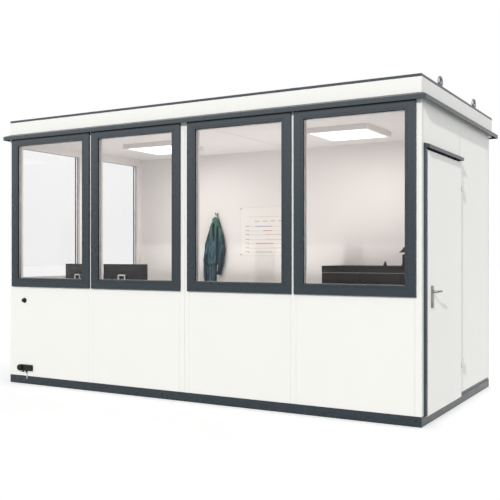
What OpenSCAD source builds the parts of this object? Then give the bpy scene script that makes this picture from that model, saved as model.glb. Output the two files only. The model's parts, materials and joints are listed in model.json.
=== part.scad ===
// Office container: a steel-framed site office with four front windows, two end windows
// and one outward-opening door. Millimetres.
// The origin is on the ground at the centre of the wall footprint. +X points to the door end,
// -Y to the window front, +Z up.

/* [Wall grid] */
// Width of one wall panel between two posts
panel_w = 950; // [800:10:1100]
// Side of a square post, also the thickness of the walls
post_w = 50; // [40:1:70]
// Joint between bars of one frame
joint_gap = 0.3; // [0.2:0.1:1]

/* [Base] */
// Height of the base rail
rail_h = 76; // [60:1:120]
// Extra height of the side rails between the posts
upstand_h = 17; // [10:1:30]
// Thickness of the floor panel
floor_t = 30; // [20:1:45]

/* [Wall heights] */
// Height of the parapet panels above the base rail
parapet_h = 868; // [700:1:1000]
// Height of the window opening
window_h = 1408; // [1300:1:1600]
// Height of the roof beam above the window opening
beam_h = 47; // [30:1:80]

/* [Roof] */
// Height of the white fascia
fascia_h = 115; // [80:1:180]
// Height of the dark roof cap
cap_h = 21; // [12:1:30]
// Width of the dark roof cap
cap_w = 60; // [55:1:90]
// Depth of the roof deck below the top of the cap
deck_drop = 35; // [25:1:50]
// Number of ribs in the roof sheet
roof_ribs = 17; // [8:1:20]
// Height of the ribs of the roof sheet
roof_rib_h = 18; // [10:1:20]
// Width of a rib at its top
roof_rib_top = 40; // [20:1:60]
// Width of a rib at its foot
roof_rib_foot = 100; // [65:1:140]
// Distance of the ribs' ends from the fascia
roof_rib_in = 60; // [20:5:200]
// How far the roof runs past the back wall
overhang = 114; // [80:1:200]
// Rise of the ceiling above the underside of the roof beam
ceiling_rise = 6; // [2:1:20]

/* [Drip band] */
// How far the drip band stands out from the wall
drip_out = 46; // [35:1:70]
// Fall of the drip band's slope
drip_fall = 20; // [10:1:30]
// Height of the drip band's upright lip
lip_h = 35; // [25:1:50]
// Thickness of the drip band's sheet
drip_t = 4; // [2:0.5:6]

/* [Windows] */
// Width of a frame bar on its face
frame_bar = 84; // [60:1:110]
// How far the frame laps over the wall around its opening
frame_lap = 13; // [5:1:20]
// How far the frame stands out from the wall
frame_proud = 20; // [10:1:28]
// Depth of the glass behind the frame's face
glass_recess = 17; // [8:1:25]
// Thickness of the glass unit
glass_t = 24; // [16:1:28]
// Depth of the glass edge in the frame bar
glass_bite = 12; // [8:1:18]
// Clearance around the glass edge
glass_clear = 0.3; // [0.2:0.1:0.8]

/* [Door] */
// Width of the door frame's jambs
jamb_w = 30; // [24:1:45]
// Height of the door opening above the base rail
door_h = 1899; // [1800:1:1950]
// Height of the door frame's head
head_h = 68; // [60:1:90]
// Width of the raised strip beside the leaf's lock edge
strip_w = 11; // [6:1:14]
// Gap between the leaf and what it closes on
leaf_gap = 5; // [5:0.5:8]
// Thickness of the leaf's outer plate
leaf_plate = 15; // [10:1:20]
// Thickness of the leaf's core inside the opening
leaf_core = 43; // [30:1:44]
// Clearance around the core in the opening
core_gap = 8; // [8:0.5:12]
// Gap between the leaf's hinge edge and the post
hinge_reveal = 3; // [2:0.5:6]
// How far the leaf's plate laps over the head
leaf_lap_top = 20; // [12:1:30]
// How far the leaf's plate laps over the base rail
leaf_lap_bottom = 6; // [4:1:15]
// Gap between the leaf and the drip cap over it
door_cap_gap = 12; // [8:1:20]
// How far the drip cap over the door stands out
door_cap_out = 41; // [32:1:60]

/* [Door furniture] */
// Height of the lever above the base rail
lever_up = 890; // [850:1:1050]
// Distance of the spindle from the leaf's lock edge
backset = 114; // [60:1:125]
// Length of the lever
lever_len = 115; // [100:1:150]
// Radius of the lever's grip
lever_r = 8; // [7:0.5:12]
// Distance of the grip from the plate
lever_out = 36; // [32:1:60]
// Radius of the spindle
spindle_r = 4.5; // [4:0.5:6]
// Radial clearance of the spindle
spindle_clear = 0.5; // [0.3:0.1:1]
// Height of the long plate
plate_h = 163; // [150:1:240]
// Width of the long plate
plate_w = 46; // [30:1:52]
// Thickness of the long plate
plate_t = 8; // [5:1:10]
// Height of the lever above the foot of the long plate
plate_low = 119; // [100:1:140]

/* [Hinges] */
// Radius of a hinge knuckle
knuckle_r = 7; // [6:0.5:9]
// Length of one knuckle
knuckle_h = 41; // [25:1:60]
// Radius of the hinge pin
pin_r = 3.5; // [2.5:0.5:4]
// Radial clearance of the hinge pin
pin_clear = 0.05; // [0.02:0.01:0.1]
// Gap between two knuckles
knuckle_gap = 1; // [0.5:0.1:2]
// Height of the lower hinge above the base rail
hinge_low = 271; // [200:1:400]
// Distance of the upper hinge below the top of the leaf
hinge_top = 197; // [100:1:400]
// Distance of the hinge axis out from the wall
hinge_out = 28; // [25:1:34]
// Thickness of the hinge wings
wing_t = 4; // [3:0.5:5]
// How far the hinge wing runs back over the leaf's edge
wing_w = 12; // [6:1:14]
// Width of the hinge lug on the post
lug_w = 14; // [10:1:20]

/* [Lifting eyes] */
// Radius of the hole in a lifting eye
eye_hole_r = 25; // [20:1:30]
// Radius of the eye's round bar
eye_bar_r = 11; // [9:0.5:12]
// Length of the straight land inside the hole
eye_land = 11; // [8:0.5:14]
// Distance of the eyes from the end of the roof
eye_inset = 30; // [26:1:34]
// Distance of the front eyes from the window front
eye_front = 563; // [400:1:700]
// Distance between the front and the back eyes
eye_pitch = 1036; // [900:1:1100]
// Height of the eye's round foot
eye_foot_h = 8; // [5:1:12]
// Radius of the eye's round foot
eye_foot_r = 22; // [18:1:24]

/* [Lights] */
// Side of a square ceiling light
light_w = 590; // [500:10:650]
// Height of a ceiling light
light_t = 46; // [30:1:60]
// Distance of the lights to each side of the middle
light_x = 1024; // [800:1:1200]
// Distance of the lights behind the middle
light_y = 90; // [0:5:150]

/* [Desk and monitors] */
// Width of the desk
desk_w = 1300; // [1200:10:1320]
// Depth of the desk
desk_d = 700; // [600:10:800]
// Height of the desk above the floor
desk_h = 740; // [700:5:780]
// Thickness of the desk top
desk_top_t = 25; // [18:1:40]
// Thickness of the desk's end panels
desk_end_t = 25; // [18:1:40]
// Height of the desk's modesty panel
modesty_h = 350; // [200:10:500]
// Thickness of the desk's modesty panel
modesty_t = 18; // [12:1:25]
// Gap between the desk and the walls
desk_gap = 40; // [35:1:60]
// Width of a monitor
monitor_w = 530; // [480:5:560]
// Height of a monitor's panel
monitor_h = 310; // [280:5:340]
// Thickness of a monitor's panel
monitor_t = 40; // [25:1:55]
// Height of a monitor's lower edge above the desk
monitor_up = 20; // [12:1:60]
// Height of the stand's bent loop
loop_h = 205; // [160:5:240]
// Width of the stand's bent loop
loop_w = 90; // [70:5:120]
// Thickness of the loop's square bar
loop_bar = 12; // [8:1:14]
// Gap between the loop and the back of the monitor
loop_gap = 15; // [8:1:25]
// Width of the stand's foot
foot_w = 200; // [150:5:240]
// Depth of the stand's foot
foot_d = 170; // [130:5:200]
// Thickness of the stand's foot
foot_t = 8; // [5:1:10]
// Distance of the left monitor from the desk's left end
monitor_left_x = 340; // [320:5:350]
// Distance of the right monitor from the desk's left end
monitor_right_x = 897; // [890:1:960]
// Distance of the monitors behind the desk's front edge
monitor_y = 410; // [250:5:480]
// How far the left monitor is turned towards the room
monitor_turn = 12; // [0:1:15]

/* [Cabinet and lamp] */
// Width of the cabinet
cabinet_w = 1200; // [900:10:1300]
// Depth of the cabinet
cabinet_d = 425; // [350:5:450]
// Height of the cabinet above the floor
cabinet_h = 1054; // [900:1:1200]
// Gap between the cabinet and the door end
cabinet_right = 254; // [150:1:300]
// Gap between the cabinet and the back wall
cabinet_gap = 3; // [2:1:10]
// Radius of the lamp's foot
lamp_foot_r = 55; // [45:1:70]
// Thickness of the lamp's foot
lamp_foot_t = 25; // [10:1:30]
// Radius of the lamp's body
lamp_body_r = 35; // [20:1:40]
// Height of the lamp's shade above the cabinet
lamp_shade_z = 128; // [90:1:160]
// Radius of the rim of the lamp's shade
lamp_shade_r = 75; // [60:1:90]
// Radius of the top of the lamp's shade
lamp_top_r = 30; // [15:1:40]
// Height of the lamp's shade
lamp_shade_h = 55; // [40:1:80]
// Distance of the lamp from the left end of the cabinet
lamp_x = 797; // [100:1:1000]
// Height of the small cone-shaped paperweight
weight_h = 46; // [30:1:70]
// Radius of the paperweight's foot
weight_r = 15; // [10:1:25]
// Radius of the paperweight's top
weight_top_r = 4; // [2:0.5:9]
// Distance of the paperweight from the left end of the cabinet
weight_x = 643; // [50:1:680]
// Distance of the paperweight behind the cabinet's front
weight_in = 33; // [25:1:60]

/* [Back wall fittings] */
// Width of the wall planner
planner_w = 674; // [500:1:800]
// Height of the wall planner
planner_h = 527; // [400:1:600]
// Thickness of the wall planner
planner_t = 6; // [4:1:12]
// Height of the planner's lower edge above the floor
planner_up = 1151; // [1000:1:1250]
// Distance of the planner's left edge from the left edge of the second back panel
planner_in = 369; // [300:1:450]
// Distance of the coat hook from the left edge of the second back panel
hook_in = 75; // [20:1:140]
// Height of the coat hook above the floor
hook_up = 1607; // [1500:1:1700]
// Length of the hook's peg
peg_l = 60; // [45:1:80]
// Radius of the hook's peg
peg_r = 6; // [4:0.5:9]
// Side of the hook's square plate
hook_plate = 50; // [40:1:70]
// Thickness of the hook's plate
hook_plate_t = 5; // [3:1:8]
// Width of the coat
coat_w = 325; // [260:5:340]
// Length of the coat
coat_l = 780; // [600:5:900]
// Depth of the coat
coat_d = 110; // [90:5:140]
// Width of the coat at its collar
coat_collar = 80; // [60:5:120]
// Width of the coat at its shoulders
coat_shoulder = 220; // [180:5:240]
// Width of the coat at its hem
coat_hem = 230; // [150:5:250]
// Distance of the coat's shoulders below its collar
coat_shoulder_z = 170; // [120:5:240]
// Distance of the coat's widest place below its collar
coat_wide_z = 430; // [300:5:500]

/* [Outside fittings] */
// Distance of the cable gland from the left end
gland_x = 195; // [120:1:300]
// Height of the cable gland
gland_z = 800; // [600:1:850]
// Radius of the cable gland
gland_r = 25; // [18:1:30]
// How far the cable gland stands out
gland_out = 30; // [20:1:40]
// Height of the gland's six-sided nut
gland_nut_h = 10; // [6:1:15]
// Radius of the gland's round cap
gland_cap_r = 19; // [13:1:21]
// Distance of the power inlet from the left end
inlet_x = 127; // [90:1:160]
// Height of the inlet's foot
inlet_z = 127; // [115:1:200]
// Height of the inlet box
inlet_h = 58; // [50:1:80]
// Width of the inlet box
inlet_w = 118; // [90:1:140]
// How far the round inlet stands out
inlet_out = 40; // [30:1:60]
// How far the inlet box stands out
inlet_box_out = 24; // [20:1:28]
// Radius of the round inlet plug cover
plug_r = 29; // [25:1:32]
// Distance of the small glands from the wall
small_gland_out = 12; // [10:0.5:14]
// Distance of the first small gland from the left end
small_gland_x = 185; // [176:1:190]
// Distance between the two small glands
small_gland_pitch = 40; // [25:1:45]
// Radius of the two small glands under the inlet box
small_gland_r = 8; // [5:0.5:9]
// Length of the two small glands
small_gland_l = 14; // [8:1:18]
// Height of the strap's lower end
strap_z = 43; // [20:1:55]
// Width of the earth strap
strap_w = 12; // [8:1:16]
// Thickness of the earth strap
strap_t = 2; // [1.5:0.5:4]

/* [Hidden] */

BAYS = 4;                 // wall bays along the front and the back
SIDE_BAYS = 2;            // wall bays along each end

WHITE = [0.95, 0.95, 0.93];
ANTHRACITE = [0.22, 0.26, 0.28];
GLASS = [0.80, 0.85, 0.86, 0.4];
STEEL = [0.70, 0.69, 0.66];
BLACK = [0.08, 0.08, 0.09];
TEAL = [0.16, 0.38, 0.42];

pitch = panel_w + post_w;
length = BAYS * pitch + 2 * post_w;       // two halves, each with a post at both ends
width = SIDE_BAYS * pitch + post_w;
left = -length / 2;
right = length / 2;
front = -width / 2;
back = width / 2;

sill_z = rail_h + parapet_h;
wall_top = sill_z + window_h;
fascia_z = wall_top + beam_h;
cap_z = fascia_z + fascia_h;
roof_top = cap_z + cap_h;
deck_top = roof_top - deck_drop;
ceiling_z = wall_top + ceiling_rise;
roof_back = back + overhang;

inner_right = right - post_w;
inner_left = left + post_w;
inner_front = front + post_w;
inner_back = back - post_w;
cross_h = rail_h - floor_t;               // the cross members carry the floor panel

// Left edge of a bay along the front, counted from 0 at the left end
function bay_x(i) = left + post_w + i * pitch + (i >= BAYS / 2 ? post_w : 0);
// Front edge of a bay along an end wall, counted from 0 at the front
function bay_y(j) = front + post_w + j * pitch;

// A box from its low corner to its high corner
module block(low, high) {
  translate(low) cube(high - low);
}

// Four mitred bars around a rectangle, in the plane, with a hairline joint at each corner
module mitred_ring(w, h, bar) {
  g = joint_gap;
  polygon([[g, 0], [w - g, 0], [w - bar - g, bar], [bar + g, bar]]);
  polygon([[g, h], [bar + g, h - bar], [w - bar - g, h - bar], [w - g, h]]);
  polygon([[0, g], [bar, bar + g], [bar, h - bar - g], [0, h - g]]);
  polygon([[w, g], [w, h - g], [w - bar, h - bar - g], [w - bar, bar + g]]);
}

// Four butted bars around a rectangle seen from above: long bars at front and back
module butted_ring(low, high, bar) {
  block(low, [high.x, low.y + bar, high.z]);
  block([low.x, high.y - bar, low.z], high);
  for (x = [low.x, high.x - bar])
    block([x, low.y + bar + joint_gap, low.z], [x + bar, high.y - bar - joint_gap, high.z]);
}

// ---- base ----

module base_frame() {
  color(ANTHRACITE) {
    butted_ring([left, front, 0], [right, back, rail_h], post_w);
    for (x = [left, right - post_w], j = [0 : SIDE_BAYS - 1])
      block([x, bay_y(j), rail_h], [x + post_w, bay_y(j) + panel_w, rail_h + upstand_h]);
    for (x = [bay_x(1) - post_w, -post_w / 2, bay_x(BAYS - 1) - post_w])
      block([x, inner_front + joint_gap, 0], [x + post_w, inner_back - joint_gap, cross_h]);
  }
}

module floor_panel() {
  color("gray") block([inner_left, inner_front, cross_h], [inner_right, inner_back, rail_h]);
}

// ---- posts ----

module post(x, y) {
  block([x, y, rail_h], [x + post_w, y + post_w, wall_top]);
}

module corner_posts() {
  color(WHITE) for (x = [left, right - post_w], y = [front, back - post_w]) post(x, y);
}

// Posts between the bays of a long wall; the two in the middle belong to the two halves
module long_wall_posts(y) {
  color(WHITE) {
    for (i = [0, BAYS - 2]) post(bay_x(i) + panel_w, y);
    for (s = [-1, 1])
      block([s < 0 ? -post_w : joint_gap, y, rail_h],
            [s < 0 ? -joint_gap : post_w, y + post_w, wall_top]);
  }
}

module front_posts() { long_wall_posts(front); }
module back_posts() { long_wall_posts(back - post_w); }

module side_posts() {
  color(WHITE) for (x = [left, right - post_w]) post(x, bay_y(0) + panel_w);
}

// ---- wall panels ----

module front_parapet(i) {
  color(WHITE) block([bay_x(i), front, rail_h], [bay_x(i) + panel_w, inner_front, sill_z]);
}

module left_parapet(j) {
  color(WHITE)
    block([left, bay_y(j), rail_h + upstand_h], [inner_left, bay_y(j) + panel_w, sill_z]);
}

module back_panel(i) {
  color(WHITE) block([bay_x(i), inner_back, rail_h], [bay_x(i) + panel_w, back, wall_top]);
}

module right_panel() {
  color(WHITE)
    block([inner_right, bay_y(1), rail_h + upstand_h], [right, bay_y(1) + panel_w, wall_top]);
}

module right_lintel_panel() {
  color(WHITE) block([inner_right, bay_y(0), head_top], [right, bay_y(0) + panel_w, wall_top]);
}

// ---- windows ----

glass_y = glass_recess - frame_proud;     // outer face of the glass, from the wall's outer face
inner_bar = frame_bar - frame_lap;        // width of the frame bar inside the opening

// A shape drawn in the plane of a wall, given depth from y0 to y1
module wall_slab(y0, y1) {
  translate([0, y1, 0]) rotate([90, 0, 0]) linear_extrude(y1 - y0) children();
}

// The frame of one window, from the lower left corner of its opening on the wall's outer face
module window_frame() {
  color(ANTHRACITE) difference() {
    union() {
      wall_slab(-frame_proud, 0) translate([-frame_lap, -frame_lap])
        mitred_ring(panel_w + 2 * frame_lap, window_h + 2 * frame_lap, frame_bar);
      wall_slab(0, post_w) mitred_ring(panel_w, window_h, inner_bar);
    }
    glass_space(glass_clear);
  }
}

// The pane of one window, or with a clearance the groove that it sits in
module glass_space(clear = 0) {
  edge = inner_bar - glass_bite - clear;
  block([edge, glass_y - clear, edge],
        [panel_w - edge, glass_y + glass_t + clear, window_h - edge]);
}

module at_front_window(i) { translate([bay_x(i), front, sill_z]) children(); }
module at_left_window(j) {
  translate([left, bay_y(j) + panel_w, sill_z]) rotate([0, 0, -90]) children();
}

module front_window_frame(i) { at_front_window(i) window_frame(); }
module left_window_frame(j) { at_left_window(j) window_frame(); }

module front_glazing() {
  color(GLASS) for (i = [0 : BAYS - 1]) at_front_window(i) glass_space();
}

module left_glazing() {
  color(GLASS) for (j = [0 : SIDE_BAYS - 1]) at_left_window(j) glass_space();
}

// ---- door ----

door_y0 = bay_y(0);                       // lock side of the door bay
door_y1 = door_y0 + panel_w;              // hinge side of the door bay
door_top = rail_h + door_h;
head_top = door_top + head_h;
plate_y0 = door_y0 + strip_w + leaf_gap;  // edges of the leaf's outer plate
plate_y1 = door_y1 - hinge_reveal;
plate_z0 = rail_h - leaf_lap_bottom;
plate_z1 = door_top + leaf_lap_top;
plate_x0 = right + leaf_gap;
plate_x1 = plate_x0 + leaf_plate;
core_x0 = plate_x0 - leaf_core;
threshold_z = rail_h + upstand_h;

module door_frame() {
  color(ANTHRACITE) {
    block([inner_right, door_y0, threshold_z], [right, door_y0 + jamb_w, head_top]);
    block([right, door_y0, rail_h], [plate_x1, door_y0 + strip_w, head_top - door_cap_h]);
    block([inner_right, door_y1 - jamb_w, threshold_z], [right, door_y1, head_top]);
    block([inner_right, door_y0 + jamb_w + joint_gap, door_top],
          [right, door_y1 - jamb_w - joint_gap, head_top]);
  }
}

door_cap_z = plate_z1 + door_cap_gap;
door_cap_h = head_top - door_cap_z;

module door_drip_cap() {
  color(ANTHRACITE)
    block([right, door_y0, door_cap_z], [right + door_cap_out, door_y1, head_top]);
}

lever_y = plate_y0 + backset;
lever_z = rail_h + lever_up;

module door_leaf() {
  color(WHITE) difference() {
    union() {
      block([plate_x0, plate_y0, plate_z0], [plate_x1, plate_y1, plate_z1]);
      block([core_x0, door_y0 + jamb_w + core_gap, threshold_z + core_gap],
            [plate_x0, door_y1 - jamb_w - core_gap, door_top - core_gap]);
    }
    spindle_hole();
  }
}

module spindle_hole() {
  translate([core_x0 - plate_t - 1, lever_y, lever_z]) rotate([0, 90, 0])
    cylinder(r = spindle_r + spindle_clear, h = plate_x1 - core_x0 + 2 * plate_t + 2, $fn = 48);
}

module door_plates() {
  color(STEEL) difference() {
    for (x = [core_x0 - plate_t, plate_x1])
      block([x, lever_y - plate_w / 2, lever_z - plate_low],
            [x + plate_t, lever_y + plate_w / 2, lever_z - plate_low + plate_h]);
    spindle_hole();
  }
}

// One lever: a neck out of the plate and a grip towards the hinges
module lever(dir, face) {
  grip_x = face + dir * lever_out;
  translate([face + dir * (lever_out / 2), lever_y, lever_z]) rotate([0, 90, 0])
    cylinder(r = spindle_r, h = lever_out, center = true, $fn = 48);
  translate([grip_x, lever_y - lever_r, lever_z]) rotate([-90, 0, 0])
    cylinder(r = lever_r, h = lever_len, $fn = 48);
}

module door_lever() {
  color(STEEL) {
    lever(1, plate_x1 + plate_t);
    lever(-1, core_x0 - plate_t);
    translate([core_x0 - plate_t, lever_y, lever_z]) rotate([0, 90, 0])
      cylinder(r = spindle_r, h = plate_x1 - core_x0 + 2 * plate_t, $fn = 48);
  }
}

// ---- hinges ----

hinge_x = right + hinge_out;
hinge_y = plate_y1 + knuckle_r;
hinge_zs = [rail_h + hinge_low, plate_z1 - hinge_top];

// The half on the leaf: the upper knuckle, bored for the pin, and a wing on the leaf's edge
module hinge_wings() {
  color(STEEL) for (z = hinge_zs) difference() {
    union() {
      translate([hinge_x, hinge_y, z + knuckle_gap])
        cylinder(r = knuckle_r, h = knuckle_h, $fn = 48);
      block([plate_x1 - wing_w, plate_y1, z + knuckle_gap],
            [hinge_x, plate_y1 + wing_t, z + knuckle_gap + knuckle_h]);
    }
    translate([hinge_x, hinge_y, z]) cylinder(r = pin_r + pin_clear, h = knuckle_h, $fn = 48);
  }
}

// The half on the post: the lower knuckle on a lug, and the pin standing up out of it
module hinge_lugs() {
  color(STEEL) for (z = hinge_zs) {
    translate([hinge_x, hinge_y, z - knuckle_h]) cylinder(r = knuckle_r, h = knuckle_h, $fn = 48);
    translate([hinge_x, hinge_y, z - 1]) cylinder(r = pin_r, h = knuckle_h, $fn = 48);
    block([right, hinge_y, z - knuckle_h], [hinge_x, hinge_y + lug_w / 2, z]);
  }
}

// ---- roof ----

module roof_beams() {
  color(WHITE) butted_ring([left, front, wall_top], [right, back, fascia_z], post_w);
}

module rear_soffit() {
  color(WHITE) block([left, back, wall_top], [right, roof_back, fascia_z]);
}

module ceiling_panel() {
  color(WHITE) block([inner_left, inner_front, ceiling_z], [inner_right, inner_back, fascia_z]);
}

// A deck with trapezoidal ribs that run from front to back and end short of the fascia
module roof_deck() {
  rib_pitch = (inner_right - inner_left) / roof_ribs;
  rib_y0 = inner_front + roof_rib_in;
  rib_y1 = roof_back - post_w - roof_rib_in;
  foot = roof_rib_foot / 2;
  top = roof_rib_top / 2;
  color("lightgray") {
    block([inner_left, inner_front, fascia_z], [inner_right, roof_back - post_w, deck_top]);
    for (i = [0 : roof_ribs - 1])
      translate([inner_left + (i + 0.5) * rib_pitch, rib_y1, deck_top]) rotate([90, 0, 0])
        linear_extrude(rib_y1 - rib_y0)
          polygon([[-foot, -1], [foot, -1], [foot, 0], [top, roof_rib_h], [-top, roof_rib_h],
                   [-foot, 0]]);
  }
}

module fascia() {
  color(WHITE) butted_ring([left, front, fascia_z], [right, roof_back, cap_z], post_w);
}

module roof_cap() {
  color(ANTHRACITE) butted_ring([left, front, cap_z], [right, roof_back, roof_top], cap_w);
}

// One side of the drip band: its folded section run along +X and mitred at both ends,
// with its back on the X axis and its slope falling towards -Y
module drip_side(run) {
  o = drip_out;
  g = joint_gap;
  intersection() {
    translate([-o, 0, 0]) rotate([90, 0, 90]) linear_extrude(run + 2 * o)
      polygon([[0, 0], [-o, -drip_fall], [-o, -drip_fall - lip_h], [drip_t - o, -drip_fall - lip_h],
               [drip_t - o, -drip_fall - drip_t], [0, -drip_t]]);
    translate([0, 0, -drip_fall - lip_h - 1]) linear_extrude(drip_fall + lip_h + 2)
      polygon([[g, 0], [run - g, 0], [run + o - g, -o], [g - o, -o]]);
  }
}

module drip_band() {
  deep = roof_back - front;
  color(ANTHRACITE) translate([0, 0, fascia_z]) {
    translate([left, front, 0]) drip_side(length);
    translate([right, front, 0]) rotate([0, 0, 90]) drip_side(deep);
    translate([right, roof_back, 0]) rotate([0, 0, 180]) drip_side(length);
    translate([left, roof_back, 0]) rotate([0, 0, -90]) drip_side(deep);
  }
}

// A ring standing on a round foot, its hole along X with a straight land for a shackle
module lifting_eye() {
  ring_r = eye_hole_r + sqrt(pow(eye_bar_r, 2) - pow(eye_land / 2, 2));
  ring_z = ring_r + eye_bar_r;
  difference() {
    union() {
      cylinder(r = eye_foot_r, h = eye_foot_h, $fn = 64);
      translate([0, 0, ring_z]) rotate([0, 90, 0])
        rotate_extrude($fn = 96) translate([ring_r, 0]) circle(r = eye_bar_r, $fn = 48);
    }
    translate([-eye_foot_r - 1, 0, ring_z]) rotate([0, 90, 0])
      cylinder(r = eye_hole_r, h = 2 * eye_foot_r + 2, $fn = 96);
  }
}

module lifting_eyes() {
  color(STEEL) for (x = [left + eye_inset, right - eye_inset], k = [0, 1])
    translate([x, front + eye_front + k * eye_pitch, roof_top]) lifting_eye();
}

// ---- inside ----

module ceiling_lights() {
  color("white") for (s = [-1, 1])
    translate([s * light_x, light_y, ceiling_z - light_t / 2])
      cube([light_w, light_w, light_t], center = true);
}

desk_x0 = inner_left + desk_gap;
desk_y0 = inner_front + desk_gap;
desk_top = rail_h + desk_h;

module desk() {
  under = desk_top - desk_top_t - joint_gap;
  color("tan") {
    block([desk_x0, desk_y0, desk_top - desk_top_t], [desk_x0 + desk_w, desk_y0 + desk_d, desk_top]);
    for (x = [desk_x0, desk_x0 + desk_w - desk_end_t])
      block([x, desk_y0, rail_h], [x + desk_end_t, desk_y0 + desk_d, under]);
    block([desk_x0 + desk_end_t + joint_gap, desk_y0, under - modesty_h],
          [desk_x0 + desk_w - desk_end_t - joint_gap, desk_y0 + modesty_t, under]);
  }
}

// A monitor with its back to the front, held by a bent loop that stands on a flat foot
module monitor() {
  back_y = -loop_gap - loop_bar;
  translate([-monitor_w / 2, 0, monitor_up]) cube([monitor_w, monitor_t, monitor_h]);
  translate([-foot_w / 2, back_y, 0]) cube([foot_w, foot_d, foot_t]);
  for (x = [-loop_w / 2, loop_w / 2 - loop_bar])
    translate([x, back_y, 0]) cube([loop_bar, loop_bar, loop_h]);
  translate([-loop_w / 2, back_y, loop_h - loop_bar]) cube([loop_w, loop_bar + loop_gap, loop_bar]);
}

module monitors() {
  color(BLACK) {
    translate([desk_x0 + monitor_right_x, desk_y0 + monitor_y, desk_top]) monitor();
    translate([desk_x0 + monitor_left_x, desk_y0 + monitor_y, desk_top])
      rotate([0, 0, monitor_turn]) monitor();
  }
}

cabinet_x1 = inner_right - cabinet_right;
cabinet_y1 = inner_back - cabinet_gap;
cabinet_top = rail_h + cabinet_h;

module cabinet() {
  color(BLACK)
    block([cabinet_x1 - cabinet_w, cabinet_y1 - cabinet_d, rail_h],
          [cabinet_x1, cabinet_y1, cabinet_top]);
}

module table_lamp() {
  color(BLACK)
    translate([cabinet_x1 - cabinet_w + lamp_x, cabinet_y1 - cabinet_d / 2, cabinet_top]) {
      cylinder(r = lamp_foot_r, h = lamp_foot_t, $fn = 64);
      cylinder(r = lamp_body_r, h = lamp_shade_z, $fn = 64);
      translate([0, 0, lamp_shade_z])
        cylinder(r1 = lamp_shade_r, r2 = lamp_top_r, h = lamp_shade_h, $fn = 64);
    }
}

module paperweight() {
  color(BLACK)
    translate([cabinet_x1 - cabinet_w + weight_x, cabinet_y1 - cabinet_d + weight_in, cabinet_top])
      cylinder(r1 = weight_r, r2 = weight_top_r, h = weight_h, $fn = 48);
}

planner_x = bay_x(1) + planner_in;

module wall_planner() {
  color("white")
    block([planner_x, inner_back - planner_t, rail_h + planner_up],
          [planner_x + planner_w, inner_back, rail_h + planner_up + planner_h]);
}

hook_x = bay_x(1) + hook_in;
hook_z = rail_h + hook_up;

module coat_hook() {
  color(STEEL) {
    translate([hook_x - hook_plate / 2, inner_back - hook_plate_t, hook_z - hook_plate / 2])
      cube([hook_plate, hook_plate_t, hook_plate]);
    translate([hook_x, inner_back - peg_l, hook_z]) rotate([-90, 0, 0])
      cylinder(r = peg_r, h = peg_l - hook_plate_t / 2, $fn = 32);
  }
}

// The coat hangs below the hook: narrow at the collar, widest halfway down, drawn in at the hem
module coat() {
  widths = [[coat_collar, 0], [coat_shoulder, -coat_shoulder_z], [coat_w, -coat_wide_z],
            [coat_hem, -coat_l]];
  color(TEAL)
    translate([hook_x, inner_back - joint_gap, hook_z - hook_plate / 2 - joint_gap])
      rotate([90, 0, 0]) linear_extrude(coat_d)
        polygon(concat([for (w = widths) [w.x / 2, w.y]],
                       [for (k = [len(widths) - 1 : -1 : 0]) [-widths[k].x / 2, widths[k].y]]));
}

// ---- outside fittings ----

small_gland_y = front - small_gland_out;
strap_x = left + small_gland_x + small_gland_pitch;

module power_inlet() {
  box_x = left + inlet_x + 2 * plug_r;
  color(BLACK) {
    translate([left + inlet_x + plug_r, front, inlet_z + inlet_h / 2]) rotate([90, 0, 0])
      cylinder(r = plug_r, h = inlet_out, $fn = 64);
    block([box_x - plug_r, front - inlet_box_out, inlet_z],
          [box_x + inlet_w, front, inlet_z + inlet_h]);
    for (k = [0, 1])
      translate([left + small_gland_x + k * small_gland_pitch, small_gland_y,
                 inlet_z - small_gland_l])
        cylinder(r = small_gland_r, h = small_gland_l + 1, $fn = 32);
  }
}

module cable_gland() {
  color(BLACK) translate([left + gland_x, front, gland_z]) rotate([90, 0, 0]) {
    cylinder(r = gland_r, h = gland_nut_h, $fn = 6);
    cylinder(r = gland_cap_r, h = gland_out, $fn = 48);
  }
}

// A flat braid from the second small gland down onto the base rail, with a bent tail behind the gland
module earth_strap() {
  top = inlet_z - small_gland_l;
  color("silver") {
    block([strap_x - strap_w / 2, front - strap_t, strap_z],
          [strap_x + strap_w / 2, front, top]);
    block([strap_x - strap_w / 2, small_gland_y - strap_t / 2, top - strap_t],
          [strap_x + strap_w / 2, front, top]);
  }
}

base_frame();
floor_panel();
corner_posts();
front_posts();
back_posts();
side_posts();
for (i = [0 : BAYS - 1]) {
  front_parapet(i);
  front_window_frame(i);
  back_panel(i);
}
for (j = [0 : SIDE_BAYS - 1]) {
  left_parapet(j);
  left_window_frame(j);
}
front_glazing();
left_glazing();
right_panel();
right_lintel_panel();
door_frame();
door_drip_cap();
door_leaf();
door_plates();
door_lever();
hinge_wings();
hinge_lugs();
roof_beams();
rear_soffit();
ceiling_panel();
roof_deck();
fascia();
roof_cap();
drip_band();
lifting_eyes();
ceiling_lights();
desk();
monitors();
cabinet();
table_lamp();
paperweight();
wall_planner();
coat_hook();
coat();
power_inlet();
cable_gland();
earth_strap();
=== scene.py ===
"""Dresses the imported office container: coated skins, windows, door furniture, roof and furnishings.

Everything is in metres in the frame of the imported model: the origin on the ground under the middle of
the walls, +X to the door end, -Y to the window front and +Z up.
"""

import json
import logging
import math
from collections.abc import Iterable, Iterator, Sequence
from dataclasses import dataclass, field
from enum import Enum

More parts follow.
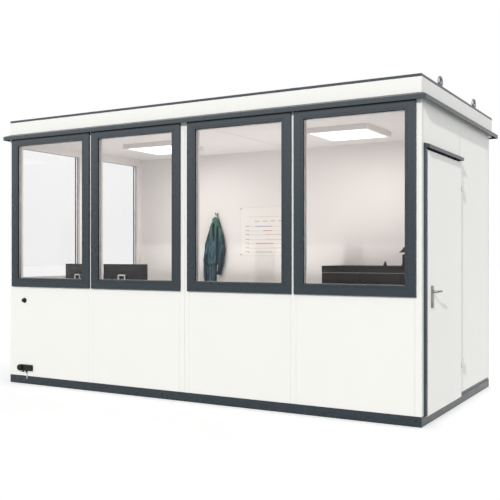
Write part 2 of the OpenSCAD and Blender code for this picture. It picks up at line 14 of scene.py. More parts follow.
import bmesh
import bpy
import numpy as np
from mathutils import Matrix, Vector


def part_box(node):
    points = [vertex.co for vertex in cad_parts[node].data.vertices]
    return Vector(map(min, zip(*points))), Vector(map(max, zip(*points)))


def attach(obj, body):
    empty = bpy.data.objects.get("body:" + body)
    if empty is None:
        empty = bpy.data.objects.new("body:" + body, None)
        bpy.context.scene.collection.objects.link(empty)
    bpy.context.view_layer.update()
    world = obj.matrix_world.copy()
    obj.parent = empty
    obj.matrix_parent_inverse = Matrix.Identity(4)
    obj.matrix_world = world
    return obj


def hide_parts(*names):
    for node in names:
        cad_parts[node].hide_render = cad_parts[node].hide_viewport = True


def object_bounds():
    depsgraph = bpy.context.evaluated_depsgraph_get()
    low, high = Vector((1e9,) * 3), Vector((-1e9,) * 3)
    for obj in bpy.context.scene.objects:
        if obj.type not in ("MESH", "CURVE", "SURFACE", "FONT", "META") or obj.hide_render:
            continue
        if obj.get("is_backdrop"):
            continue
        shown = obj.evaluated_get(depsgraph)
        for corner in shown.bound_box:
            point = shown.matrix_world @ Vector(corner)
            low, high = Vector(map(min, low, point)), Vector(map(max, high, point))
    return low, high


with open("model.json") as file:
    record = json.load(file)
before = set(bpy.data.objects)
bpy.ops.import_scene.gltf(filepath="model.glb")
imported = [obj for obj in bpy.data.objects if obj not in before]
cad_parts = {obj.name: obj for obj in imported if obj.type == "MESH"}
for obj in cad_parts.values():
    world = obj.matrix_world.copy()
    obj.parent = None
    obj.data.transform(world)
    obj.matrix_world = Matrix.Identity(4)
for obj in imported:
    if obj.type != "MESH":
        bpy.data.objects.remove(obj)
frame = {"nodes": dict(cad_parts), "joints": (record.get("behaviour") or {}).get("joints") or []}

Array = np.ndarray
Colour = tuple[float, float, float]
Point = Sequence[float] | Array
Pairs = Iterable[Sequence[float]] | Array
Socket = bpy.types.NodeSocket
Scene = bpy.types.Scene

log = logging.getLogger("office_container")

X, Y, Z = np.eye(3)
HAIR = 1e-5


# ---- shapes ----


@dataclass(frozen=True)
class Solid:
    """A closed surface: its points, its faces' corner numbers in one row, and each face's count."""

    points: Array
    corners: Array
    sizes: Array

    def moved(self, turn: float, shift: Point) -> "Solid":
        """Turns the solid about +Z by an angle in radians, then shifts it."""
        c, s = math.cos(turn), math.sin(turn)
        turned = self.points @ np.array([[c, s, 0], [-s, c, 0], [0, 0, 1]])
        return Solid(turned + np.asarray(shift), self.corners, self.sizes)

    def facing(self, direction: Array) -> Array:
        """Marks the flat face at the solid's far end in a direction with one, and the others with zero."""
        reach = self.points @ direction
        lowest = np.minimum.reduceat(reach[self.corners], np.cumsum(self.sizes) - self.sizes)
        return (lowest > reach.max() - HAIR).astype(int)


def shell(rings: Array, looped: bool = False) -> Solid:
    """Closes rings of points into one solid.

    Quads join each ring to the next, and a flat face closes each end. Points that coincide become one,
    and the edges and faces that vanish with them are dropped, so a ring shrunk to a point is a pole.

    Args:
        rings: The points, by ring and by place in the ring.
        looped: The last ring joins the first, and there are no ends.

    Returns:
        The closed solid.
    """
    count, around = rings.shape[:2]
    index = np.arange(count * around).reshape(count, around)
    ends = [] if looped else [index[0], index[-1]]
    index = np.concatenate([index, index[:1]]) if looped else index
    index = np.concatenate([index, index[:, :1]], axis=1)
    quads = np.stack([index[:-1, :-1], index[:-1, 1:], index[1:, 1:], index[1:, :-1]], axis=-1)
    sizes = np.array([4] * quads[..., 0].size + [around] * len(ends))
    points = rings.reshape(-1, 3)
    _, first, same = np.unique(points.round(6), axis=0, return_index=True, return_inverse=True)
    corners = same.ravel()[np.concatenate([quads.ravel(), *ends])]
    face = np.repeat(np.arange(len(sizes)), sizes)
    starts = np.cumsum(sizes) - sizes
    following = np.arange(len(corners)) + 1
    following[starts + sizes - 1] = starts
    kept = corners != corners[following]
    left = np.bincount(face[kept], minlength=len(sizes))
    kept &= left[face] >= 3
    return Solid(points[first], corners[kept], left[left >= 3])


def unit(vector: Array) -> Array:
    """Scales vectors to length one along their last axis."""
    return vector / np.linalg.norm(vector, axis=-1, keepdims=True)


def fillet(corners: Pairs, radius: float | Sequence[float], steps: int = 3) -> Array:
    """Rounds the corners of a closed outline.

    Each corner C becomes the curve (1-s)^2 A + 2s(1-s) C + s^2 B, from A, one radius before the
    corner, to B, one radius after it.

    Args:
        corners: The outline's corners in order.
        radius: One radius for all corners, or one for each.
        steps: Straight pieces in each rounded corner.

    Returns:
        The rounded outline's points.
    """
    corners = np.asarray(corners, float)
    reach = np.broadcast_to(radius, len(corners))[:, None]
    start = corners + unit(np.roll(corners, 1, axis=0) - corners) * reach
    end = corners + unit(np.roll(corners, -1, axis=0) - corners) * reach
    s = np.linspace(0, 1, steps + 1)[None, :, None]
    curve = (1 - s) ** 2 * start[:, None] + 2 * s * (1 - s) * corners[:, None] + s**2 * end[:, None]
    return curve.reshape(-1, corners.shape[1])


def plate(width: float, height: float, radius: float, steps: int = 3) -> Array:
    """The outline of a rounded rectangle about the origin."""
    w, h = width / 2, height / 2
    return fillet([(-w, -h), (w, -h), (w, h), (-w, h)], radius, steps)


def bend(corners: Pairs, radius: float, steps: int = 6) -> Array:
    """An open path through corners, each inner one rounded as fillet rounds an outline."""
    corners = np.asarray(corners, float)
    inner = fillet(corners, radius, steps).reshape(len(corners), steps + 1, -1)[1:-1]
    return np.concatenate([corners[:1], inner.reshape(-1, corners.shape[1]), corners[-1:]])


def circle(radius: float, sides: int = 16, squash: float = 1.0) -> Array:
    """The outline r (cos t, q sin t), a circle, or an ellipse where q isn't one."""
    turn = np.linspace(0, 2 * np.pi, sides, endpoint=False)
    return np.stack([radius * np.cos(turn), radius * squash * np.sin(turn)], axis=-1)


def rectangle(low: Point, high: Point, first: Array = X, second: Array = Y) -> Array:
    """A rectangle's corners from the low one: along the first axis, along both, along the second."""
    reach = np.subtract(high, low)
    return np.asarray(low) + np.array([0 * first, first, first + second, second]) * reach


def block(low: Point, high: Point, radius: float = 0.002, steps: int = 2) -> Solid:
    """A box with rounded edges and corners.

    A direction n runs over latitude and longitude and is sampled twice where it passes from one
    quadrant to the next. The point is centre + sign(n) (half - r) + r n, so that every quadrant
    rounds a corner of its own and the doubled samples span the flats.

    Args:
        low: The lowest corner.
        high: The highest corner.
        radius: Radius of the edges.
        steps: Straight pieces in each rounded edge.

    Returns:
        The closed solid.
    """
    low, high = np.array(low, float), np.array(high, float)
    centre, half = (low + high) / 2, (high - low) / 2
    radius = min(radius, half.min())
    quarter = np.radians(np.linspace(0, 90, steps + 1))
    around = (quarter + np.pi / 2 * np.arange(4)[:, None]).ravel()
    rise = np.concatenate([quarter - np.pi / 2, quarter])[:, None]
    east, north = np.repeat([[1.0, -1.0, -1.0, 1.0], [1.0, 1.0, -1.0, -1.0]], steps + 1, axis=1)
    level = np.repeat([-1.0, 1.0], steps + 1)[:, None]
    outward = np.broadcast_arrays(np.cos(rise) * np.cos(around), np.cos(rise) * np.sin(around), np.sin(rise))
    signs = np.stack(np.broadcast_arrays(east, north, level), axis=-1)
    points = centre + signs * (half - radius) + radius * np.stack(outward, axis=-1)
    poles = [np.broadcast_to([*centre[:2], z], (1, len(around), 3)) for z in (low[2], high[2])]
    return shell(np.concatenate([poles[0], points, poles[1]]))


def bar(section: Array, start: Array, end: Array, across: Array, depth: Array, mitre: float = 0.0) -> Solid:
    """Carries an outline in a straight line.

    A section point (a, b) lies at start + a across + b depth, and each end is cut back along the bar
    by a times the mitre, so that a mitre of one gives a 45 degree cut.

    Args:
        section: The outline's points as rows (a, b).
        start: Where the section's own origin starts.
        end: Where it ends.
        across: Direction of a.
        depth: Direction of b.
        mitre: How far each end is cut back for each metre of a.

    Returns:
        The closed solid.
    """
    shape = section[:, :1] * across + section[:, 1:] * depth
    cut = section[:, :1] * mitre * unit(end - start)
    return shell(np.stack([start + shape + cut, end + shape - cut]))


def bars_round(section: Array, corners: Array, depth: Array, gap: float = 0.0002) -> list[Solid]:
    """Four mitred bars round a rectangle, with a hairline left open at each corner.

    Args:
        section: The outline, its first number counted inwards from the rectangle.
        corners: The rectangle's four corners in order.
        depth: Direction of the outline's second number.
        gap: Half the hairline at each mitre.

    Returns:
        The four closed bars.
    """
    ends, beyond = np.roll(corners, -1, axis=0), np.roll(corners, -2, axis=0)
    hairs, inwards = gap * unit(ends - corners), unit(beyond - ends)
    return [bar(section, start + hair, end - hair, inward, depth, 1.0)
            for start, end, hair, inward in zip(corners, ends, hairs, inwards)]


def carried(section: Array, path: Array, across: Array, sizes: Array | float = 1.0) -> Array:
    """The rings of an outline carried along a path that lies square to one direction.

    The ring at path point p is p + s (a across + b n), where n is the path's tangent times across
    and s the size of the section there.

    Args:
        section: The outline's points as rows (a, b).
        path: The points that the section's origin follows.
        across: The direction of a, which is square to the whole path.
        sizes: The section's size along the path, as one number or one for each point.

    Returns:
        The rings, by path point.
    """
    normal = unit(np.cross(unit(np.gradient(path, axis=0)), across))
    scale = np.broadcast_to(sizes, len(path))[:, None, None]
    return path[:, None] + scale * (section[None, :, :1] * across + section[None, :, 1:] * normal[:, None])


def lathe(profile: Pairs, foot: Point, axis: Array, sides: int = 24, turned: float = 0.0) -> Solid:
    """Turns a profile about an axis: a pair (r, h) runs round foot + h axis at the distance r.

    Args:
        profile: Pairs of radius and height, which start and end on the axis or meet themselves.
        foot: The point of the axis at height zero.
        axis: The direction of the axis.
        sides: Faces round the axis.
        turned: Angle in radians at which the first side starts.

    Returns:
        The closed solid.
    """
    pairs = np.asarray(profile, float)
    turn = np.linspace(0, 2 * np.pi, sides, endpoint=False)[:, None] + turned
    side = unit(np.cross(axis, Z if abs(axis[2]) < 0.9 else X))
    spoke = np.cos(turn) * side + np.sin(turn) * np.cross(axis, side)
    return shell(foot + pairs[:, None, :1] * spoke + pairs[:, None, 1:] * axis, bool(pairs[0][0] > 0))


def lofted(middle: Array, outlines: Sequence[Array], depths: Sequence[float], across: Array, up: Array,
           out: Array) -> Solid:
    """A stack of outlines round one middle: a point (a, b) lies at middle + a across + b up + depth out."""
    return shell(np.stack([middle + o[:, :1] * across + o[:, 1:] * up + d * out for o, d in zip(outlines, depths)]))


def disc(radius: float, top: float, foot: float = 0.0) -> list[tuple[float, float]]:
    """The profile of a plain disc from one height to another."""
    return [(0, foot), (radius, foot), (radius, top), (0, top)]


def button(radius: float, height: float) -> list[tuple[float, float]]:
    """The profile of a rivet or screw head: a low dome r cos s, h sin s."""
    s = np.linspace(0, np.pi / 2, 5)
    return [(0, 0), *zip(radius * np.cos(s), height * np.sin(s))]


def grips(foot: Array, radius: float, count: int, half: Point, edge: float) -> list[Solid]:
    """Small upright blocks round a turned cap that looks along -Y, each with the same half sizes."""
    turns = np.linspace(0, 2 * np.pi, count, endpoint=False)[:, None]
    middles = foot + radius * (np.cos(turns) * X + np.sin(turns) * Z)
    return [block(middle - half, middle + half, edge, 1) for middle in middles]


def blend_values(at: Array, values: Sequence[float] | Array) -> Array:
    """The Bernstein polynomial of some control values: the sum of C(n,k) v^k (1-v)^(n-k) c_k."""
    n = len(values) - 1
    return np.sum([math.comb(n, k) * at**k * (1 - at) ** (n - k) * c for k, c in enumerate(values)], axis=0)


@dataclass(frozen=True)
class Box:
    """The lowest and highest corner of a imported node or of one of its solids."""

    low: Array
    high: Array

    @classmethod
    def of(cls, node: str) -> "Box":
        """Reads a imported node's box at rest."""
        return cls(*map(np.array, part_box(node)))

    def __iter__(self) -> Iterator[float]:
        """Gives the six numbers, the low corner's first."""
        return iter((*self.low, *self.high))

    @property
    def centre(self) -> Array:
        """The middle of the box."""
        return (self.low + self.high) / 2

    @property
    def size(self) -> Array:
        """The box's width, depth and height."""
        return self.high - self.low


def solids_of(node: str) -> list[Box]:
    """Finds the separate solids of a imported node.

    Points that coincide are taken as one, and the lowest label spreads over each triangle until
    nothing changes, so that every closed solid ends with a label of its own.

    Args:
        node: The node's name.

    Returns:
        The box of each solid, ordered by its lowest corner.
    """
    mesh = frame["nodes"][node].data
    points, corners = np.empty(len(mesh.vertices) * 3, np.float32), np.empty(len(mesh.loops), np.int32)
    mesh.vertices.foreach_get("co", points)
    mesh.loops.foreach_get("vertex_index", corners)
    places, same = np.unique(points.reshape(-1, 3).round(5), axis=0, return_inverse=True)
    triangles = same.ravel()[corners].reshape(-1, 3)
    labels, before = np.arange(len(places)), None
    while not np.array_equal(labels, before):
        before = labels.copy()
        np.minimum.at(labels, triangles.ravel(), np.repeat(before[triangles].min(axis=1), 3))
    boxes = [Box(places[labels == k].min(0), places[labels == k].max(0)) for k in np.unique(labels)]
    return sorted(boxes, key=lambda box: tuple(box.low))


# ---- finishes ----


class Nodes:
    """A node tree, with short calls for its nodes and sums."""

    def __init__(self, tree: bpy.types.NodeTree) -> None:
        """Works on one tree."""
        self.tree = tree

    def put(self, socket: Socket, value: object) -> None:
        """Links a socket to another one, or sets its own value. A colour of three numbers is made opaque."""
        if isinstance(value, bpy.types.NodeSocket):
            self.tree.links.new(value, socket)
        else:
            socket.default_value = (*value, 1.0) if socket.type == "RGBA" else value

    def node(self, kind: str, inputs: dict[str | int, object] | None = None, **settings: object) -> bpy.types.Node:
        """Adds a node.

        Args:
            kind: The node's type, without the word that all shader nodes start with.
            inputs: Values or sockets for its inputs, by name or number.
            settings: Values for its own properties.

        Returns:
            The new node.
        """
        made = self.tree.nodes.new("ShaderNode" + kind)
        for name, value in settings.items():
            setattr(made, name, value)
        for name, value in (inputs or {}).items():
            self.put(made.inputs[name], value)
        return made

    def span(self, value: Socket, low: float | Socket, high: float | Socket, start: float = 0.3,
             end: float = 0.7) -> Socket:
        """Maps a pattern from start..end to low..high."""
        inputs = {"Value": value, "From Min": start, "From Max": end, "To Min": low, "To Max": high}
        return self.node("MapRange", inputs).outputs[0]

    def mix(self, share: Socket, one: Colour | Socket, other: Colour | Socket) -> Socket:
        """Goes from one colour to another as share goes from 0 to 1."""
        return self.node("Mix", {0: share, 6: one, 7: other}, data_type="RGBA").outputs[2]

    def maths(self, operation: str, one: Socket | float, other: Socket | float = 0.0) -> Socket:
        """One sum of two values."""
        return self.node("Math", {0: one, 1: other}, operation=operation).outputs[0]

    def seen(self) -> tuple[Socket, Socket]:
        """Gives one for rays from the eye, straight or through glass, and one for rays from a gloss."""
        path = self.node("LightPath").outputs
        return self.maths("MAXIMUM", path["Is Camera Ray"], path["Is Transmission Ray"]), path["Is Glossy Ray"]


class Shader(Nodes):
    """A material's node tree, with short calls for the patterns that the finishes use."""

    def __init__(self, name: str) -> None:
        """Starts a material with one principled shader and the object's own coordinates."""
        self.material = bpy.data.materials.new(name)
        self.material.use_nodes = True
        super().__init__(self.material.node_tree)
        self.tree.nodes.clear()
        self.output = self.node("OutputMaterial").inputs["Surface"]
        self.surface = self.node("BsdfPrincipled")
        self.put(self.output, self.surface.outputs[0])
        self.place = self.node("TexCoord").outputs["Object"]

    def lay(self, name: str, value: object) -> None:
        """Gives one of the surface's inputs a pattern or a plain value."""
        self.put(self.surface.inputs[name], value)

    def colour(self) -> Socket:
        """The colour pattern that was laid last."""
        return self.surface.inputs["Base Color"].links[0].from_socket

    def noise(self, scale: float, detail: float = 3.0, stretch: Colour = (1, 1, 1)) -> Socket:
        """Soft noise with some patches to the metre."""
        place = self.node("Mapping", {"Vector": self.place, "Scale": stretch}).outputs[0]
        return self.node("TexNoise", {"Vector": place, "Scale": scale, "Detail": detail}).outputs["Fac"]

    def cells(self, scale: float) -> Socket:
        """A random value for each cell of a pattern with some cells to the metre."""
        return self.node("TexVoronoi", {"Vector": self.place, "Scale": scale}).outputs["Color"]

    def waves(self, scale: float, one: str, other: str) -> Socket:
        """Even bands across one axis times those across another."""
        bands = [self.node("TexWave", {"Vector": self.place, "Scale": scale}, bands_direction=axis).outputs["Fac"]
                 for axis in (one, other)]
        return self.maths("MULTIPLY", *bands)

    def bump(self, height: Socket, depth: float) -> None:
        """Raises the surface by a pattern, in metres, over what was raised before."""
        inputs = {"Height": height, "Distance": depth}
        before = self.surface.inputs["Normal"]
        if before.is_linked:
            inputs["Normal"] = before.links[0].from_socket
        self.put(before, self.node("Bump", inputs).outputs[0])


@dataclass(frozen=True)
class Finish:
    """A coated or moulded surface: two close colours in soft clouds, and a fine grain."""

    name: str
    slot: str
    colour: Colour
    tone: Colour
    clouds: float = 1.3
    rough: tuple[float, float] = (0.4, 0.5)
    grain: float = 420.0
    relief: float = 0.00012
    stretch: Colour = (1.0, 1.0, 1.0)
    metal: float = 0.0
    gloss: float = 0.5

    def dress(self, shader: Shader) -> None:
        """Lays the colour, the roughness and the grain."""
        patches = shader.noise(self.clouds, 4.0, self.stretch)
        shader.lay("Base Color", shader.mix(shader.span(patches, 0.0, 1.0), self.colour, self.tone))
        shader.lay("Roughness", shader.span(shader.noise(self.clouds * 6, 3.0, self.stretch), *self.rough))
        shader.lay("Metallic", self.metal)
        shader.lay("Specular IOR Level", self.gloss)
        shader.bump(shader.noise(self.grain, 2.0, self.stretch), self.relief)

    def make(self) -> bpy.types.Material:
        """Builds the material."""
        shader = Shader(self.name)
        self.dress(shader)
        return shader.material


@dataclass(frozen=True)
class Spangle(Finish):
    """Hot-dip zinc: flat crystals of slightly different grey."""

    crystals: float = 90.0

    def dress(self, shader: Shader) -> None:
        """Lays the crystals over the plain coat's roughness and grain."""
        super().dress(shader)
        share = shader.span(shader.cells(self.crystals), 0.0, 1.0, 0.0, 1.0)
        shader.lay("Base Color", shader.mix(share, self.colour, self.tone))


@dataclass(frozen=True)
class WoodGrain(Finish):
    """Wood decor: long streaks and darker pores along one axis."""

    along: Colour = (0.6, 14.0, 14.0)

    def dress(self, shader: Shader) -> None:
        """Lays streaks and pores over the plain coat."""
        super().dress(shader)
        streaks = shader.span(shader.noise(3.0, 6.0, self.along), 0.0, 1.0, 0.35, 0.65)
        pores = shader.noise(30.0, 2.0, self.along)
        colour = shader.mix(streaks, self.colour, self.tone)
        darker = tuple(0.6 * c for c in self.tone)
        shader.lay("Base Color", shader.mix(shader.span(pores, 0.0, 0.5, 0.6, 0.75), colour, darker))
        shader.bump(pores, 0.0002)


@dataclass(frozen=True)
class Speckle(Finish):
    """Sheet flooring: light and dark chips in a plain ground."""

    chips: float = 260.0

    def dress(self, shader: Shader) -> None:
        """Lays the light chips and then the smaller dark ones over the plain coat."""
        super().dress(shader)
        for scale, first, tint in ((1.0, 0.74, 1.5), (1.7, 0.78, 0.45)):
            share = shader.span(shader.cells(self.chips * scale), 0.0, 1.0, first, first + 0.06)
            chip = tuple(min(1.0, tint * c) for c in self.colour)
            shader.lay("Base Color", shader.mix(share, shader.colour(), chip))


@dataclass(frozen=True)
class Weave(Finish):
    """Cloth: threads over and under each other, with a soft sheen."""

    threads: float = 260.0
    sheen: float = 0.25

    def dress(self, shader: Shader) -> None:
        """Lays the crossing threads over the plain coat."""
        super().dress(shader)
        shader.bump(shader.waves(self.threads, "X", "Z"), 0.0006)
        shader.lay("Sheen Weight", self.sheen)


@dataclass(frozen=True)
class Garment(Weave):
    """A jacket's cloth: painted light, greener and lighter over the shoulders, and painted shade in the folds."""

    # The first colour is painted light over the shoulders, the second painted shade in the folds and creases.
    painted_light_tint: Colour = (0.072, 0.175, 0.128)
    folded: Colour = (0.004, 0.013, 0.018)
    shoulders: tuple[float, float] = (1.36, 1.56)

    def dress(self, shader: Shader) -> None:
        """Lays the weave, then the painted light by height and the painted fold shade by the mesh's attribute."""
        super().dress(shader)
        # Painted light by height over the shoulders, then painted shade in the folds by the stored attribute.
        height = shader.node("SeparateXYZ", {0: shader.place}).outputs["Z"]
        colour = shader.mix(shader.span(height, 0.0, 0.85, *self.shoulders), shader.colour(), self.painted_light_tint)
        worn = shader.node("Attribute", attribute_name="worn").outputs["Fac"]
        shader.lay("Base Color", shader.mix(worn, colour, self.folded))


@dataclass(frozen=True)
class Diffuser(Finish):
    """A lit opal sheet with a fine prism pattern."""

    power: float = 1.15

    def dress(self, shader: Shader) -> None:
        """Lays the plain coat and lets it shine, a little less between the prisms."""
        super().dress(shader)
        shader.lay("Emission Color", shader.mix(shader.waves(60.0, "X", "Y"), self.tone, self.colour))
        shader.lay("Emission Strength", self.power)


@dataclass(frozen=True)
class ClearGlass(Finish):
    """Clear float glass: see-through, with a mirror that grows towards grazing angles."""

    film: float = 0.004
    index: float = 1.22

    def make(self) -> bpy.types.Material:
        """Mixes a clear and a mirroring shader by the glass's own reflection and a trace of dust.

        Light isn't bent on its way in, so the index is inverted at the faces seen from within, where
        the reflection would be total otherwise.
        """
        shader = Shader(self.name)
        shader.tree.nodes.remove(shader.surface)
        clear = shader.node("BsdfTransparent", {"Color": self.colour}).outputs[0]
        mirror = shader.node("BsdfGlossy", {"Color": self.tone, "Roughness": self.rough[0]}).outputs[0]
        behind = shader.node("NewGeometry").outputs["Backfacing"]
        share = shader.node("Fresnel", {"IOR": shader.span(behind, self.index, 1 / self.index, 0.0, 1.0)}).outputs[0]
        dust = shader.span(shader.noise(self.clouds, 5.0), 0.0, self.film, 0.45, 0.75)
        mixed = shader.node("MixShader", {0: shader.maths("ADD", share, dust), 1: clear, 2: mirror})
        shader.put(shader.output, mixed.outputs[0])
        return shader.material


class Skin(Enum):
    """The finishes of the container and what stands in it."""

    WHITE = Finish("white_panel_coat", "white_panel", (0.895, 0.90, 0.875), (0.88, 0.885, 0.86), rough=(0.42, 0.5),
                   gloss=0.3, stretch=(1.0, 1.0, 0.35))
    ROOM = Finish("room_lining", "white_panel", (0.83, 0.803, 0.788), (0.815, 0.788, 0.772), rough=(0.55, 0.65),
                  gloss=0.25, grain=260.0)
    ANTHRACITE = Finish("anthracite_coat", "anthracite", (0.0215, 0.0330, 0.0415), (0.0210, 0.0324, 0.0408),
                        clouds=1.0, rough=(0.27, 0.28), gloss=0.34, relief=0.00001, grain=900.0)
    RUBBER = Finish("black_rubber", "black_plastic", (0.006, 0.006, 0.0065), (0.009, 0.009, 0.0095), clouds=30.0,
                    rough=(0.6, 0.7), gloss=0.12)
    PLASTIC = Finish("black_moulding", "black_plastic", (0.008, 0.008, 0.0088), (0.012, 0.012, 0.013), clouds=20.0,
                     rough=(0.4, 0.55), gloss=0.18, grain=1500.0, relief=0.0002)
    SCREEN = Finish("dark_screen", "black_plastic", (0.008, 0.009, 0.011), (0.011, 0.012, 0.014), clouds=4.0,
                    rough=(0.12, 0.2))
    STEEL = Finish("brushed_steel", "steel_fittings", (0.27, 0.26, 0.245), (0.21, 0.205, 0.195), clouds=30.0,
                   rough=(0.28, 0.42), metal=1.0, stretch=(1.0, 1.0, 0.08), grain=2200.0, relief=0.00004)
    ZINC = Spangle("galvanised_steel", "steel_fittings", (0.28, 0.285, 0.29), (0.20, 0.205, 0.21),
                   rough=(0.4, 0.55), metal=1.0, relief=0.0003)
    ALUMINIUM = Finish("matt_aluminium", "steel_fittings", (0.62, 0.62, 0.61), (0.56, 0.56, 0.55), clouds=9.0,
                       rough=(0.35, 0.45), metal=0.9, stretch=(0.1, 1.0, 1.0))
    ROOFING = Finish("grey_roof_sheet", "roof_sheet", (0.42, 0.44, 0.45), (0.35, 0.37, 0.385), clouds=2.5,
                     rough=(0.45, 0.65), stretch=(1.0, 0.25, 1.0))
    VINYL = Speckle("pale_floor_vinyl", "floor_vinyl", (0.50, 0.47, 0.44), (0.45, 0.42, 0.39), rough=(0.45, 0.6))
    DIFFUSER = Diffuser("lit_diffuser", "light_diffuser", (1.0, 0.985, 0.96), (0.97, 0.955, 0.93))
    GLASS = ClearGlass("clear_glass", "clear_glass", (0.968, 0.967, 0.967), (0.95, 0.97, 1.0), clouds=3.0,
                       rough=(0.02, 0.02))
    DESK = WoodGrain("desk_decor", "desk_laminate", (0.60, 0.56, 0.50), (0.53, 0.49, 0.43))
    DARK_WOOD = WoodGrain("dark_wood_decor", "dark_furniture", (0.018, 0.0155, 0.0140), (0.010, 0.0090, 0.0085),
                          gloss=0.08)
    CLOTH = Garment("teal_cloth", "coat_fabric", (0.056, 0.138, 0.185), (0.026, 0.072, 0.098), clouds=26.0,
                    rough=(0.75, 0.9), gloss=0.2, stretch=(1.0, 1.0, 0.3))
    PAPER = Finish("planner_paper", "planner_board", (0.86, 0.83, 0.80), (0.84, 0.81, 0.78), rough=(0.6, 0.7),
                   gloss=0.2, grain=900.0)
    BRAID = Weave("tinned_braid", "earth_braid", (0.55, 0.56, 0.57), (0.42, 0.43, 0.44), clouds=90.0,
                  rough=(0.35, 0.5), metal=1.0, threads=600.0, sheen=0.0)
    RULE_GREY = Finish("grey_rule", "planner_board", (0.52, 0.51, 0.50), (0.48, 0.47, 0.46))
    MARK_GREY = Finish("dark_mark", "planner_board", (0.30, 0.29, 0.29), (0.27, 0.265, 0.26))
    # Hinges: the white panel coat greyed down, painted shade that keeps them from shining brighter than the wall.
    HINGE_COAT = Finish("pale_grey_hinge_coat", "steel_fittings", (0.60, 0.60, 0.59), (0.57, 0.57, 0.56),
                        clouds=20.0, rough=(0.4, 0.5), gloss=0.3)
    BAR_BLUE = Finish("blue_bar", "planner_board", (0.20, 0.26, 0.52), (0.18, 0.24, 0.48))
    BAR_RED = Finish("red_bar", "planner_board", (0.58, 0.22, 0.16), (0.54, 0.20, 0.15))
    BAR_AMBER = Finish("amber_bar", "planner_board", (0.75, 0.48, 0.22), (0.70, 0.45, 0.20))
    BAR_OLIVE = Finish("olive_bar", "planner_board", (0.34, 0.36, 0.22), (0.31, 0.33, 0.20))


@dataclass
class Workshop:
    """Makes each finish once, turns solids into pieces and sets them riding on their bodies."""

    materials: dict[Skin, bpy.types.Material] = field(default_factory=dict)
    triangles: int = 0

    def mesh(self, name: str, solids: Sequence[Solid], slots: Array) -> bpy.types.Mesh:
        """Writes solids into one mesh whose faces all look outwards.

        Args:
            name: The mesh's name.
            solids: The closed solids.
            slots: The number of each face's finish.

        Returns:
            The new mesh.
        """
        mesh = bpy.data.meshes.new(name)
        first = np.cumsum([0] + [len(solid.points) for solid in solids])
        corners = np.concatenate([solid.corners + k for solid, k in zip(solids, first)])
        sizes = np.concatenate([solid.sizes for solid in solids])
        mesh.vertices.add(int(first[-1]))
        mesh.loops.add(len(corners))
        mesh.polygons.add(len(sizes))
        points = np.concatenate([solid.points for solid in solids])
        mesh.vertices.foreach_set("co", points.astype(np.float32).ravel())
        mesh.loops.foreach_set("vertex_index", corners.astype(np.int32))
        mesh.polygons.foreach_set("loop_start", (np.cumsum(sizes) - sizes).astype(np.int32))
        mesh.polygons.foreach_set("material_index", slots.astype(np.int32))
        mesh.update(calc_edges=True)
        mesh.validate()
        work = bmesh.new()
        work.from_mesh(mesh)
        bmesh.ops.recalc_face_normals(work, faces=work.faces)
        work.to_mesh(mesh)
        work.free()
        mesh.shade_smooth()
        self.triangles += int((sizes - 2).sum())
        return mesh

    def piece(self, name: str, skin: Skin, solids: Sequence[Solid], node: str = "", body: str = "cabin",
              lining: Sequence[Array] | None = None, trim: tuple[Skin, Sequence[Solid]] | None = None,
              crease: float = 35.0) -> bpy.types.Object:
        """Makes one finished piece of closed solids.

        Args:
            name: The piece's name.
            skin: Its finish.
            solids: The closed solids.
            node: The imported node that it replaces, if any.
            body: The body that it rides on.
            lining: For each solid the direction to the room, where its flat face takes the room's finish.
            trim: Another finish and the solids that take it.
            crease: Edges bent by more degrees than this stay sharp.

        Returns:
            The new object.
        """
        other, extra = trim or (Skin.ROOM, [])
        slots = [solid.facing(way) for solid, way in zip(solids, lining)] if lining else [0 * s.sizes for s in solids]
        slots += [0 * solid.sizes + 1 for solid in extra]
        mesh = self.mesh(name, [*solids, *extra], np.concatenate(slots))
        mesh.set_sharp_from_angle(angle=math.radians(crease))
        for used in (skin, other) if trim or lining else (skin,):
            if used not in self.materials:
                self.materials[used] = used.value.make()
            mesh.materials.append(self.materials[used])
        made = bpy.data.objects.new(name, mesh)
        bpy.context.scene.collection.objects.link(made)
        made.modifiers.new("flats", "WEIGHTED_NORMAL").keep_sharp = True
        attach(made, body)
        skin.value.slot
        if node:
            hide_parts(node)
        log.info("%s rides on %s with %d faces", name, body, len(mesh.polygons))
        return made

    def rounded(self, node: str, radius: float = 0.002, lining: Sequence[Array] | None = None) -> None:
        """Replaces a node of plain boxes with the same boxes in white, their edges rounded.

        Args:
            node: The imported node.
            radius: Radius of the edges.
            lining: The direction to the room for each of its solids, if that side is lined.
        """
        solids = [block(box.low, box.high, radius) for box in solids_of(node)]
        self.piece(f"{node}_skin", Skin.WHITE, solids, node, lining=lining)


# ---- base and walls ----


